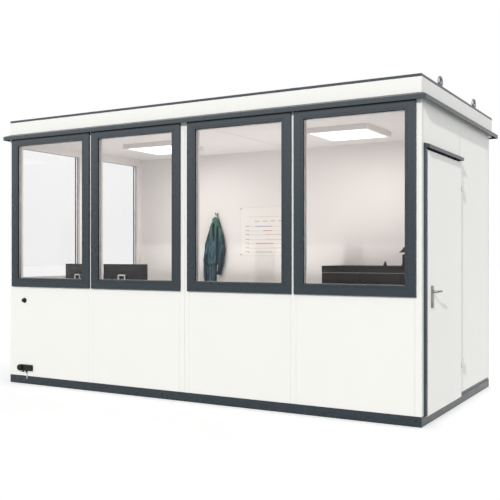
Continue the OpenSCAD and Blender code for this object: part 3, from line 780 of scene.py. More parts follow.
@dataclass
class Base:
    """The steel base: long rails, end rails with their upstands, cross members and fixings."""

    shop: Workshop
    wall: float = 0.05
    hairline: float = 0.0003
    edge: float = 0.003
    rivet: float = 0.006
    rivet_in: float = 0.046
    joists: tuple[float, ...] = (-1.025, 0.0, 1.025)

    def build(self) -> None:
        """Makes the rails, the fixings, the floor sheet and the door sill."""
        self.rails()
        self.floor()

    def rails(self) -> None:
        """Long rails, end rails with an upstand in each bay, cross members and pan-head fixings."""
        x0, y0, _, x1, y1, upstand = Box.of("base_frame")
        floor, wall = Box.of("floor_panel"), self.wall
        top, first, last = floor.high[2], y0 + wall, y1 - wall
        bay = (last - first - wall) / 2
        solids = [block((x0, y, 0), (x1, y + wall, top), self.edge) for y in (y0, last)]
        for x in (x0, x1 - wall):
            solids.append(block((x, first + self.hairline, 0), (x + wall, last - self.hairline, top), self.edge))
            solids += [block((x, y, top - 0.01), (x + wall, y + bay, upstand), 0.0015)
                       for y in (first, first + bay + wall)]
        solids += [block((x - wall / 2, first, 0), (x + wall / 2, last, floor.low[2])) for x in self.joists]
        self.shop.piece("base_rails", Skin.ANTHRACITE, solids, "base_frame")
        head, reach = button(self.rivet, self.rivet * 0.5), x1 - self.rivet_in
        heads = [lathe(head, (x, side * (y1 - 0.0002), 0.045), side * Y, 12)
                 for x in (-reach, reach) for side in (-1, 1)]
        self.shop.piece("rail_fixings", Skin.RUBBER, heads)

    def floor(self) -> None:
        """Vinyl over the floor panel and a ribbed aluminium sill in the doorway."""
        floor, rail, jambs = Box.of("floor_panel"), Box.of("base_frame").high, Box.of("door_frame")
        self.shop.piece("floor_covering", Skin.VINYL, [block(floor.low, floor.high, 0.001)], "floor_panel")
        inside, y0, y1 = floor.high[0], jambs.low[1] + 0.032, jambs.high[1] - 0.032
        solids = [block((inside - 0.02, y0, rail[2]), (rail[0] - 0.001, y1, rail[2] + 0.003), 0.001)]
        solids += [block((x - 0.0015, y0 + 0.004, rail[2] + 0.002), (x + 0.0015, y1 - 0.004, rail[2] + 0.0045),
                         0.0007, 1)
                   for x in np.linspace(inside - 0.012, rail[0] - 0.012, 6)]
        self.shop.piece("door_sill", Skin.ALUMINIUM, solids)


@dataclass
class Walls:
    """Posts and sandwich panels: white outside, lined towards the room."""

    shop: Workshop
    bays: int = 4
    panel_edge: float = 0.0025
    post_edge: float = 0.003

    def build(self) -> None:
        """Rounds every post and panel, so that the joints between them show, and lines the back wall."""
        bays = range(1, self.bays + 1)
        panels = [f"{row}_{k}" for row in ("front_parapet", "back_panel") for k in bays]
        panels += ["left_parapet_1", "left_parapet_2", "right_panel", "right_lintel_panel"]
        self.shop.rounded("corner_posts", self.post_edge)
        for node in ("front_posts", "back_posts", *panels, "side_posts"):
            edge = self.panel_edge if node in panels else self.post_edge
            self.shop.rounded(node, edge, [self.inward(box) for box in solids_of(node)])
        self.lining()

    def inward(self, box: Box) -> Array:
        """The direction to the room from a solid, across the wall that it stands in."""
        share = (box.centre / Box.of("corner_posts").high)[:2]
        axis = int(np.argmax(np.abs(share)))
        return -np.sign(share[axis]) * (X, Y)[axis]

    def lining(self) -> None:
        """A smooth thin sheet that covers the back wall's joints towards the room."""
        first, last = Box.of("back_panel_1"), Box.of(f"back_panel_{self.bays}")
        low, high = np.minimum(first.low, last.low), np.maximum(first.high, last.high)
        sheet = block(low + (0.001, -0.0006, 0.001), (high[0] - 0.001, low[1] + 0.0004, high[2] - 0.001), 0.0003, 1)
        self.shop.piece("back_wall_lining", Skin.ROOM, [sheet])


# ---- windows ----


@dataclass
class WindowRow:
    """The windows of one wall: coated outer bars, rubber seals, lined inner bars and sealed units.

    Depths count inwards from the wall's outer face.
    """

    shop: Workshop
    name: str
    count: int
    along: Array
    inward: Array
    proud: float = 0.020
    bar: float = 0.084
    lap: float = 0.013
    wall: float = 0.050
    glass: float = -0.003
    unit: float = 0.024
    pane: float = 0.004
    bite: float = 0.012
    bead: float = 0.020
    split: float = 0.028
    rubber: float = 0.003

    def build(self) -> None:
        """Makes the outer bars of each window, and the row's seals, inner bars, spacers and units."""
        edge, back = self.bar - self.bite, self.glass + self.unit
        spacer = fillet([(edge + 0.001, self.glass + self.pane), (self.bar + 0.002, self.glass + self.pane),
                         (self.bar + 0.002, back - self.pane), (edge + 0.001, back - self.pane)], 0.0005, 1)
        linings, seals, spacers, units = [], [], [], []
        for k in range(self.count):
            node = f"{self.name}_window_frame_{k + 1}"
            low, high = self.on_wall(node)
            around = rectangle(low, high, self.along, Z)
            self.shop.piece(f"{node}_bars", Skin.ANTHRACITE, bars_round(self.outer(), around, self.inward), node)
            linings += bars_round(self.inner(), around, self.inward)
            seals += bars_round(self.seal(self.glass - self.rubber), around, self.inward)
            seals += bars_round(self.seal(back), around, self.inward)
            spacers += bars_round(spacer, around, self.inward)
            margin = edge * (self.along + Z)
            units.append(block(low + margin + self.glass * self.inward, high - margin + back * self.inward, 0.0005, 1))
        for part, skin, solids, node in (("linings", Skin.ROOM, linings, ""), ("seals", Skin.RUBBER, seals, ""),
                                         ("spacers", Skin.ALUMINIUM, spacers, ""),
                                         ("units", Skin.GLASS, units, f"{self.name}_glazing")):
            self.shop.piece(f"{self.name}_window_{part}", skin, solids, node)

    def on_wall(self, node: str) -> tuple[Array, Array]:
        """The low and high corner of a frame, laid on the wall's outer face."""
        box, face = Box.of(node), Box.of("corner_posts").low * self.inward
        return box.low * (1 - self.inward) + face, box.high * (1 - self.inward) + face

    def outer(self) -> Array:
        """The coated bar: a flange over the wall, a face with the bead's joint in it, and the rebate."""
        joint, rebate, seat = self.bar - self.bead, self.bar - self.bite - 0.0005, self.glass - self.rubber
        corners = [(0, 0), (0, -self.proud), (joint - 0.001, -self.proud), (joint, 0.0015 - self.proud),
                   (joint + 0.001, -self.proud), (self.bar - 0.002, -self.proud), (self.bar, seat), (rebate, seat),
                   (rebate, self.split), (self.lap, self.split), (self.lap, 0)]
        return fillet(corners, [0, 0.003, 0, 0, 0, 0.002, 0.0005, 0, 0, 0, 0])

    def inner(self) -> Array:
        """The lined bar behind the glass, flush with the inside of the wall."""
        edge, front = self.bar - self.bite - 0.0005, self.glass + self.unit + self.rubber
        corners = [(self.lap, self.split), (edge, self.split), (edge, front), (self.bar, front),
                   (self.bar, self.wall), (self.lap, self.wall)]
        return fillet(corners, [0, 0, 0, 0.001, 0.003, 0])

    def seal(self, front: float) -> Array:
        """A rubber seal that lies on the glass and just shows past the bar."""
        root, lip, back = self.bar - self.bite + 0.002, self.bar + 0.0015, front + self.rubber
        return fillet([(root, front), (lip, front), (lip, back), (root, back)], 0.0008, 1)


# ---- door ----


@dataclass
class Door:
    """The outward-opening door with its frame, seals, drip cap, plates, lever and hinges."""

    shop: Workshop
    tray: float = 0.015
    jamb: float = 0.030
    strip: float = 0.011
    rubber: float = 0.0045
    sheet: float = 0.002
    thick: float = 0.008
    rose: float = 0.015
    neck: float = 0.0085
    grip: float = 0.008
    key_drop: float = 0.092
    pin: Pairs = ((0, -0.001), (0.006, -0.001), (0.006, 0.0012), (0.0055, 0.0018), (0, 0.0018))
    knuckle_radius: float = 0.007
    knuckle_height: float = 0.041
    leaf: Box = field(default_factory=lambda: Box.of("door_leaf"))

    def build(self) -> None:
        """Makes the door's pieces on the cabin, the door and the handle."""
        self.leaf_tray()
        self.surround()
        self.drip_cap()
        self.plates()
        self.lever()
        self.hinges()

    def axis(self, joint: str) -> Array:
        """The point that a joint's axis runs through."""
        return np.array(next(j["pos_m"] for j in frame["joints"] if j["name"] == joint))

    def leaf_tray(self) -> None:
        """The coated outer tray with its core, the seal behind it and a lock-edge seal that also paints the gap's
        shade.
        """
        (x0, y0, z0, x1, y1, z1), jambs = self.leaf, Box.of("door_frame")
        wall, margin = x1 - self.tray, self.jamb + 0.008
        solids = [block((wall, y0, z0), self.leaf.high, 0.0025, 3),
                  block((x0, jambs.low[1] + margin, 0.101), (wall, jambs.high[1] - margin, z1 - 0.028))]
        self.shop.piece("door_leaf_skin", Skin.WHITE, solids, "door_leaf", "door")
        around = rectangle((wall, y0 + 0.006, z0 + 0.012), (wall, y1 - 0.018, z1 - 0.011), Y, Z)
        bulb = fillet([(0, 0), (0.008, 0), (0.007, self.rubber), (0.001, self.rubber)], 0.001)
        self.shop.piece("door_seal", Skin.RUBBER, bars_round(bulb, around, -X, 0), body="door")
        foot, head = z0 + 0.004, z1 - 0.004
        # Black rubber over the lock edge and a thin lip on its face: partly a real seal, partly painted shade for the
        # gap.
        solids = [block((wall + 0.002, y0 - 0.0012, foot), (x1 - 0.0015, y0 + 0.0004, head), 0.0005, 1),
                  block((x1 - 0.0005, y0 - 0.0012, foot), (x1 + 0.0006, y0 + 0.009, head), 0.0005, 1)]
        self.shop.piece("door_edge_seal", Skin.RUBBER, solids, body="door")

    def surround(self) -> None:
        """The jambs and head in the opening and the raised strip beside the lock edge."""
        x0, y0, z0, x1, y1, z1 = Box.of("door_frame")
        wall, head = self.leaf.high[0] - self.tray - 0.005, self.leaf.high[2] - 0.020
        sill, inner = Box.of("base_frame").high[2], self.jamb + 0.0003
        solids = [block((x0, y0, sill), (wall, y0 + self.jamb, z1), 0.0015),
                  block((x0, y1 - self.jamb, sill), (wall, y1, z1), 0.0015),
                  block((x0, y0 + inner, head), (wall, y1 - inner, z1), 0.0015),
                  block((wall - 0.002, y0, z0), (x1, y0 + self.strip, Box.of("door_drip_cap").low[2]))]
        self.shop.piece("door_frame_skin", Skin.ANTHRACITE, solids, "door_frame")

    def drip_cap(self) -> None:
        """A folded sheet over the door: a back flange, a sloping top and a lip, closed at both ends."""
        box, t = Box.of("door_drip_cap"), self.sheet
        out, _, tall = box.size
        fold = [(0, 0), (t, 0), (t, tall - 0.004), (out - t, tall - 0.012), (out - t, 0.004), (out - 0.008, t),
                (out - 0.008, 0), (out, 0), (out, tall - 0.010), (0, tall)]
        section = fillet(fold, [0, 0, 0, 0.001, 0, 0, 0, 0.001, 0.002, 0.001], 2)
        side = fillet([(0, 0), (out, 0), (out, tall - 0.010), (0, tall)], 0.0015, 2)
        runs = ((section, 0, box.size[1]), (side, 0, t), (side, box.size[1] - t, box.size[1]))
        solids = [bar(shape, box.low + a * Y, box.low + b * Y, X, Z) for shape, a, b in runs]
        self.shop.piece("door_drip_cap_sheet", Skin.ANTHRACITE, solids, "door_drip_cap")

    def plates(self) -> None:
        """A long plate on each side with its rose, keyhole and screws."""
        both, (_, hub_y, hub_z) = Box.of("door_plates"), self.axis("lever_turn")
        _, wide, tall = both.size
        outline = plate(wide, tall, 0.012, 6)
        outlines = [outline, outline, outline * (1 - 0.0015 / wide * 2)]
        inner = self.neck + 0.001
        collar = [(inner, 0), (self.rose, 0), (self.rose, 0.0025), (self.rose - 0.001, 0.0035), (inner, 0.0035)]
        steel, dark = [], []
        for face, out in ((self.leaf.high[0], X), (self.leaf.low[0], -X)):
            middle, hub = np.array([face, *both.centre[1:]]), np.array([face, hub_y, hub_z]) + self.thick * out
            key = hub + 0.0004 * out - self.key_drop * Z
            steel.append(lofted(middle, outlines, (0, self.thick - 0.0015, self.thick), Y, Z, out))
            steel.append(lathe(collar, hub - 0.001 * out, out, 32))
            steel += [lathe(button(0.004, 0.0012), (hub[0], hub_y, z), out, 16)
                      for z in (both.low[2] + 0.010, both.high[2] - 0.009)]
            steel.append(lathe(self.pin, key, out, 24))
            dark += [lathe(disc(0.0085, 0.0, -0.001), key, out, 24),
                     block(key + (-0.0008, -0.0045, -0.022), key + (0.0004, 0.0045, -0.004), 0.0003, 1)]
        self.shop.piece("door_plate_pair", Skin.STEEL, steel, "door_plates", "door")
        self.shop.piece("door_keyholes", Skin.RUBBER, dark, body="door")

    def lever(self) -> None:
        """A lever on each side: a neck that bends into a grip with a rounded end."""
        box, (_, hub_y, hub_z) = Box.of("door_lever"), self.axis("lever_turn")
        dome = 1 - np.linspace(0, 1, 6) ** 2
        solids = []
        for face, out, reach in ((self.leaf.high[0], 1.0, box.high[0]), (self.leaf.low[0], -1.0, box.low[0])):
            turn, tip = reach - out * self.grip, box.high[1] - 0.0001
            path = bend([(face + out * 0.0085, hub_y, hub_z), (turn, hub_y, hub_z), (turn, tip, hub_z)], 0.016, 8)
            path = np.concatenate([path[:-1], path[-1] - np.outer(dome, self.grip * Y)])
            sizes = np.concatenate([np.ones(len(path) - 6), np.sqrt(1 - (1 - dome) ** 2 * 0.98)])
            solids.append(shell(carried(circle(self.grip, 20, 0.94), path, Z, sizes)))
        self.shop.piece("door_lever_pair", Skin.STEEL, solids, "door_lever", "handle", crease=50)

    def hinges(self) -> None:
        """Two lift-off hinges: knuckles with turned ends, wings on the leaf's edge, lugs on the wall."""
        x, y, _ = self.axis("door_swing")
        wings, lugs, tall = [], [], self.knuckle_height
        edge, wall = self.leaf.high[1], Box.of("right_panel").high[0]
        for x0, _, z0, _, _, z1 in solids_of("hinge_wings"):
            wings += [lathe(self.knuckle(z1 - z0), (x, y, z0), Z, 28),
                      block((x0, edge, z0), (x, edge + 0.004, z1), 0.0012)]
        for _, _, z0, _, y1, z1 in solids_of("hinge_lugs"):
            top = z1 - z0
            pin = [(0, tall - 0.002), (0.0034, tall - 0.002), (0.0034, top - 0.0005), (0.0028, top), (0, top)]
            lugs += [lathe(self.knuckle(tall), (x, y, z0), Z, 28), lathe(pin, (x, y, z0), Z, 20),
                     block((wall, y, z0), (x, y1, z0 + tall), 0.0012)]
        # Both take the greyed copy of the white coat, which paints shade on them.
        self.shop.piece("hinge_wings_coated", Skin.HINGE_COAT, wings, "hinge_wings", "door")
        self.shop.piece("hinge_lugs_coated", Skin.HINGE_COAT, lugs, "hinge_lugs")

    def knuckle(self, height: float) -> list[tuple[float, float]]:
        """The profile of a knuckle: a barrel with turned-down ends and a fine groove near each."""
        r = self.knuckle_radius
        end = [(0, 0), (r - 0.001, 0), (r, 0.001), (r, 0.004), (r - 0.0006, 0.0045), (r, 0.005)]
        return end + [(radius, height - h) for radius, h in reversed(end)]


# ---- roof ----


@dataclass
class Roof:
    """Beams, ceiling, fascia, cap, drip band, ribbed sheet and lifting eyes."""

    shop: Workshop
    board: float = 0.05
    capping: float = 0.06
    cap_joints: tuple[float, ...] = (-1.025, 1.025)
    fall: float = 0.020
    sheet: float = 0.004
    ribs: int = 17
    rib_height: float = 0.018
    rib_top: float = 0.040
    rib_foot: float = 0.100
    rib_in: float = 0.060
    ramp: float = 0.015
    screw_in: float = 0.13
    eye: float = 0.011
    eye_drop: float = 0.0455
    eye_foot: Pairs = ((0, 0), (0.022, 0), (0.022, 0.006), (0.020, 0.008), (0.015, 0.009), (0.012, 0.013),
                       (0.0105, 0.019), (0, 0.019))

    def build(self) -> None:
        """Makes the roof from the ceiling upwards."""
        self.shop.rounded("roof_beams")
        self.shop.rounded("rear_soffit")
        self.edges()
        self.deck()
        self.eyes()
        self.ceiling()

    def edges(self) -> None:
        """Mitred bars round the roof: the white fascia, its folded capping and the drip sheet below.

        The capping falls a little towards the tray and is turned down inside it, with a cover over
        each joint. The drip sheet's slope falls outwards to an upright lip.
        """
        fascia, cap, drip = Box.of("fascia"), Box.of("roof_cap"), Box.of("drip_band")
        x0, y0, _, x1, y1, _ = fascia
        rise, tall, wide, down = fascia.size[2], cap.size[2], self.capping, self.capping - 0.004
        out, deep, t = x0 - drip.low[0], drip.size[2], self.sheet
        boards = fillet([(0, 0), (self.board, 0), (self.board, rise), (0, rise)], [0.0025, 0, 0, 0.0025])
        folded = fillet([(0, 0), (0, tall), (wide, tall - 0.003), (wide, -0.012), (down, -0.012), (down, 0)],
                        [0.001, 0.0035, 0.003, 0.001, 0.001, 0])
        slope = fillet([(0, 0), (-out, -self.fall), (-out, -deep), (t - out, -deep), (t - out, -self.fall - t),
                        (0, -t)], [0, 0.004, 0.0012, 0.0012, 0.001, 0])
        low, high = cap.low[2] + 0.002, cap.high[2]
        covers = [block((x - 0.03, y + 0.0002, low), (x + 0.03, y + wide + 0.0015, high), 0.001, 1)
                  for x in self.cap_joints for y in (cap.low[1], cap.high[1] - wide)]
        for name, skin, section, z, gap, extra, node in (
                ("fascia_boards", Skin.WHITE, boards, fascia.low[2], 0, [], "fascia"),
                ("roof_capping", Skin.ANTHRACITE, folded, cap.low[2], 0.0002, covers, "roof_cap"),
                ("drip_sheet", Skin.ANTHRACITE, slope, drip.high[2], 0.0001, [], "drip_band")):
            bars = bars_round(section, rectangle((x0, y0, z), (x1, y1, z)), Z, gap)
            self.shop.piece(name, skin, bars + extra, node)

    def deck(self) -> None:
        """A ribbed sheet from front to back, with washered screws on its ribs.

        Its height over the plan is h(x) e(y), where h is a row of trapezoids and e ramps up to one
        at both ends of the ribs.
        """
        x0, y0, under, x1, y1, crest = Box.of("roof_deck")
        top, pitch = crest - self.rib_height, (x1 - x0) / self.ribs
        middles = x0 + pitch * (np.arange(self.ribs) + 0.5)
        shape = np.array([-self.rib_foot, -self.rib_top, self.rib_top, self.rib_foot]) / 2
        rise = np.tile([0.0, 1.0, 1.0, 0.0], self.ribs) * self.rib_height
        ends = np.array([0.0, self.rib_in, self.rib_in + self.ramp])
        along = np.concatenate([y0 + ends, y1 - ends[::-1]])
        share = np.array([0.0, 0.0, 1.0, 1.0, 0.0, 0.0])
        x = np.concatenate([[x0], (middles[:, None] + shape).ravel(), [x1, x1, x0]])
        z = top + share[:, None] * np.concatenate([[0.0], rise, [0.0, 0.0, 0.0]])
        z[:, -2:] = under
        rings = np.stack(np.broadcast_arrays(x, along[:, None], z), axis=-1)
        self.shop.piece("roof_sheet", Skin.ROOFING, [shell(rings)], "roof_deck", crease=12)
        feet = [(x, y, crest) for y in np.linspace(y0 + self.screw_in, y1 - self.screw_in, 4) for x in middles]
        head = [(0, 0.0015), (0.0045, 0.0015), (0.0045, 0.0055), (0, 0.006)]
        self.shop.piece("roof_screws", Skin.ZINC, [lathe(head, foot, Z, 6) for foot in feet])
        self.shop.piece("roof_washers", Skin.RUBBER, [lathe(disc(0.008, 0.0015), foot, Z, 12) for foot in feet])
        bead = fillet([(0, 0), (0.012, 0), (0.004, 0.010), (0, 0.024)], 0.0005, 1)
        self.shop.piece("roof_sealant", Skin.PLASTIC, bars_round(bead, rectangle((x0, y0, top), (x1, y1, top)), Z, 0))

    def eyes(self) -> None:
        """Forged lifting eyes: a ring r = R + t cos u, h = t sin u that flows into a collar on a foot."""
        cap, solids = Box.of("roof_cap").high[2], []
        for box in solids_of("lifting_eyes"):
            x, y, _ = box.centre
            radius = (box.high[2] - cap) / 2 - self.eye
            solids.append(lathe(circle(self.eye, 20) + (radius, 0), (x, y, box.high[2] - self.eye_drop), X, 48))
            solids.append(lathe(self.eye_foot, (x, y, cap), Z, 32))
        self.shop.piece("lifting_eye_rings", Skin.ZINC, solids, "lifting_eyes")

    def ceiling(self) -> None:
        """Lined ceiling boards with a thin strip over the joint between them."""
        x0, y0, z0, x1, y1, z1 = Box.of("ceiling_panel")
        middle = (x0 + x1) / 2
        boards = [block((a + 0.0004, y0, z0), (b - 0.0004, y1, z1), 0.003) for a, b in ((x0, middle), (middle, x1))]
        self.shop.piece("ceiling_boards", Skin.ROOM, boards, "ceiling_panel")
        strip = block((middle - 0.004, y0 + 0.002, z0 - 0.0008), (middle + 0.004, y1 - 0.002, z0 + 0.0004), 0.0004, 1)
        self.shop.piece("ceiling_joint_strip", Skin.ALUMINIUM, [strip])


# ---- outside fittings ----


@dataclass
class Fittings:
    """The power inlet, its small glands, the cable gland and the earth strap on the front wall."""

    shop: Workshop
    plug: float = 0.029
    small: float = 0.008
    below: float = 0.014
    gland_pitch: float = 0.040
    nut: Pairs = ((0, 0), (0.0235, 0), (0.025, 0.0015), (0.025, 0.0085), (0.0235, 0.010), (0, 0.010))
    dome: Pairs = ((0, 0.009), (0.019, 0.009), (0.019, 0.021), (0.016, 0.027), (0.012, 0.030), (0.009, 0.030),
                   (0.009, 0.026), (0, 0.026))
    bolt: Pairs = ((0, 0), (0.0045, 0), (0.0045, 0.0035), (0.004, 0.004), (0, 0.004))

    def build(self) -> None:
        """Makes the black mouldings and the braided strap."""
        self.inlet()
        self.gland()
        self.strap()

    def inlet(self) -> None:
        """A round inlet with a lid on a hinge, beside a box with a screwed cover, over two glands."""
        x0, _, low, x1, wall, top = Box.of("power_inlet")
        low, split, r = low + self.below, x0 + self.plug, self.plug
        centre = np.array([split, wall, (low + top) / 2])
        barrel = [(0, 0), (r, 0), (r, 0.012), (r - 0.003, 0.014), (r - 0.003, 0.026), (r, 0.028), (r, 0.036),
                  (r - 0.002, 0.039), (r - 0.006, 0.040), (0, 0.040)]
        solids = [
            lathe(barrel, centre, -Y, 40), *grips(centre - 0.020 * Y, r - 0.003, 12, (0.002, 0.006, 0.002), 0.0006),
            block((split - 0.009, wall - 0.037, top - 0.006), (split + 0.009, wall - 0.027, top)),
            block((split, wall - 0.018, low), (x1, wall, top), 0.004, 4),
            block((split + 0.034, wall - 0.024, low + 0.003), (x1 - 0.003, wall - 0.017, top - 0.003), 0.003, 4)]
        solids += [lathe(button(0.003, 0.0008), (x, wall - 0.0239, z), -Y, 12)
                   for x in (split + 0.041, x1 - 0.010) for z in (low + 0.010, top - 0.010)]
        strap, s = Box.of("earth_strap").centre[0], self.small
        nut = [(0, 0.004), (s, 0.004), (s, 0.011), (0.006, 0.015), (0, 0.015)]
        for x in (strap - self.gland_pitch, strap):
            foot = (x, wall - 0.012, low + 0.001)
            solids += [lathe(disc(s * 0.92, 0.005), foot, -Z, 6), lathe(nut, foot, -Z, 20)]
        self.shop.piece("power_inlet_moulding", Skin.PLASTIC, solids, "power_inlet")

    def gland(self) -> None:
        """A hexagon against the wall, a domed cap with grips and a blanking plug."""
        box = Box.of("cable_gland")
        foot = np.array([box.centre[0], box.high[1], box.centre[2]])
        solids = [lathe(self.nut, foot, -Y, 6, np.pi / 2), lathe(self.dome, foot, -Y, 32),
                  *grips(foot - 0.0155 * Y, 0.0178, 8, (0.0012, 0.005, 0.0012), 0.0004)]
        self.shop.piece("cable_gland_moulding", Skin.PLASTIC, solids, "cable_gland")

    def strap(self) -> None:
        """A flat braid from the second gland down to a crimped lug, bolted to the base rail."""
        box = Box.of("earth_strap")
        x, (_, out, low, _, wall, top) = box.centre[0], box
        path = bend([(x, out + 0.0015, top - 0.0005), (x, wall - 0.004, top - 0.014), (x, wall - 0.0012, top - 0.034),
                     (x, wall - 0.0012, low + 0.002)], 0.006)
        braid = shell(carried(plate(0.012, 0.002, 0.0008, 2), path, X))
        self.shop.piece("earth_strap_braid", Skin.BRAID, [braid], "earth_strap")
        lug = block((x - 0.0058, wall - 0.0035, low + 0.001), (x + 0.0058, wall - 0.0005, low + 0.018), 0.001)
        self.shop.piece("earth_strap_lug", Skin.ZINC, [lug, lathe(self.bolt, (x, wall - 0.003, low + 0.009), -Y, 6)])


# ---- lamps and furniture ----


def lamp(name: str, kind: str, power: float, colour: Colour, place: Point = (0, 0, 0), turn: Point = (0, 0, 0),
         **settings: object) -> bpy.types.Object:
    """Adds a lamp that the eye doesn't see. Gloss and glass show it only if it is a sun.

    Args:
        name: The lamp's name.
        kind: Blender's type of light.
        power: Its power, or a sun's strength.
        colour: The light's colour.
        place: Where it stands.
        turn: Its angles in radians.
        settings: Values for the light's other properties.

    Returns:
        The lamp.
    """
    data = bpy.data.lights.new(name, kind)
    data.energy, data.color = power, colour
    for key, value in settings.items():
        setattr(data, key, value)
    made = bpy.data.objects.new(name, data)
    made.location, made.rotation_euler = place, turn
    made.visible_camera = False
    made.visible_glossy = made.visible_transmission = kind == "SUN"
    bpy.context.scene.collection.objects.link(made)
    return made


@dataclass
class Lights:
    """Surface ceiling lights: a white housing round a lit diffuser."""

    shop: Workshop
    rim: float = 0.028
    step: float = 0.006
    thin: float = 0.004
    power: float = 7.5
    glow: Colour = (1.0, 0.97, 0.94)

    def build(self) -> None:
        """Makes the housings, the diffusers set into them and the lamps just below."""
        housings, sheets, t = [], [], self.thin
        for x0, y0, z0, x1, y1, z1 in solids_of("ceiling_lights"):
            section = fillet([(0, 0), (self.rim, 0), (self.rim, self.step), (t, self.step), (t, z1 - z0), (0, z1 - z0)],
                             [0.002, 0.001, 0, 0, 0, 0])
            housings += bars_round(section, rectangle((x0, y0, z0), (x1, y1, z0)), Z, 0)
            sheets.append(block((x0 + t, y0 + t, z0 + 0.0025), (x1 - t, y1 - t, z0 + 0.0055), 0.0005))
            lamp("ceiling_lamp", "AREA", self.power, self.glow, ((x0 + x1) / 2, (y0 + y1) / 2, z0 - 0.002),
                 shape="SQUARE", size=x1 - x0 - 0.06)
        self.shop.piece("light_housings", Skin.ROOM, housings, "ceiling_lights")
        self.shop.piece("light_diffusers", Skin.DIFFUSER, sheets)


@dataclass
class Desk:
    """The desk with its two monitors, which stand with their backs to the window."""

    shop: Workshop
    places: tuple[tuple[float, float], ...] = ((0.897, 0.0), (0.340, 12.0))
    back: float = 0.410
    panel: tuple[float, float, float] = (0.530, 0.040, 0.310)
    lift: float = 0.020
    loop: tuple[float, float, float] = (0.090, 0.012, 0.229)
    loop_gap: float = 0.015
    steps: Pairs = ((1.0, 1.0), (1.0, 0.62), (0.985, 0.55), (0.62, 0.12), (0.60, 0.02))
    grommet: Pairs = ((0, 0), (0.03, 0), (0.03, 0.0015), (0.026, 0.002), (0, 0.0018))

    def build(self) -> None:
        """Makes the desk, then each monitor in its own place."""
        x0, y0, _, x1, _, top = Box.of("desk")
        boards = [block(box.low, box.high, 0.0025 if box.size[2] < 0.1 else 0.001) for box in solids_of("desk")]
        grommets = [lathe(self.grommet, (x, y0 + 0.09, top), Z, 32) for x in (x0 + 0.12, x1 - 0.12)]
        self.shop.piece("desk_boards", Skin.DESK, boards, "desk", trim=(Skin.PLASTIC, grommets))
        for name, skin, solids, node in (("monitor_cases", Skin.PLASTIC, self.case(), "monitors"),
                                         ("monitor_stands", Skin.ALUMINIUM, self.stand(), ""),
                                         ("monitor_screens", Skin.SCREEN, self.screen(), "")):
            placed = [solid.moved(-math.radians(turn), (x0 + x, y0 + self.back, top))
                      for x, turn in self.places for solid in solids]
            self.shop.piece(name, skin, placed, node)

    def case(self) -> list[Solid]:
        """A shallow tray whose back is bevelled from its rim up to a smaller raised field.

        The back is a stack of rounded rectangles, each with its own share of the width and depth.
        """
        wide, deep, tall = self.panel
        outlines = [plate(wide * s, tall - wide * (1 - s) * 0.62, 0.008 * s, 4) for s, _ in self.steps]
        tray = lofted((self.lift + tall / 2) * Z, outlines, [deep * d for _, d in self.steps], X, Z, Y)
        low, high = self.lift + tall * 0.72, self.lift + tall * 0.80
        return [tray, *(block((x - 0.0012, 0.001, low), (x + 0.0012, 0.004, high), 0.0005, 1)
                        for x in np.linspace(-0.10, 0.10, 22))]

    def stand(self) -> list[Solid]:
        """A square bar bent to an upright loop, a bracket to the case and a flat foot."""
        wide, thick, tall = self.loop
        y, half, top = -self.loop_gap - thick / 2, (wide - thick) / 2, tall - thick / 2
        path = bend([(-half, y, 0.004), (-half, y, top), (half, y, top), (half, y, 0.004)], 0.012)
        front = -self.loop_gap - thick
        return [shell(carried(plate(thick, thick, 0.002, 2), path, Y)),
                block((-0.04, y, top - 0.005), (0.04, 0.004, top + 0.005), 0.0015),
                block((-0.10, front, 0.0), (0.10, front + 0.170, 0.008), 0.003)]

    def screen(self) -> list[Solid]:
        """The dark screen, set into the rim on the room side."""
        wide, deep, tall = self.panel
        half = wide / 2 - 0.012
        return [block((-half, deep - 0.004, self.lift + 0.016), (half, deep - 0.0005, self.lift + tall - 0.012), 0.001)]


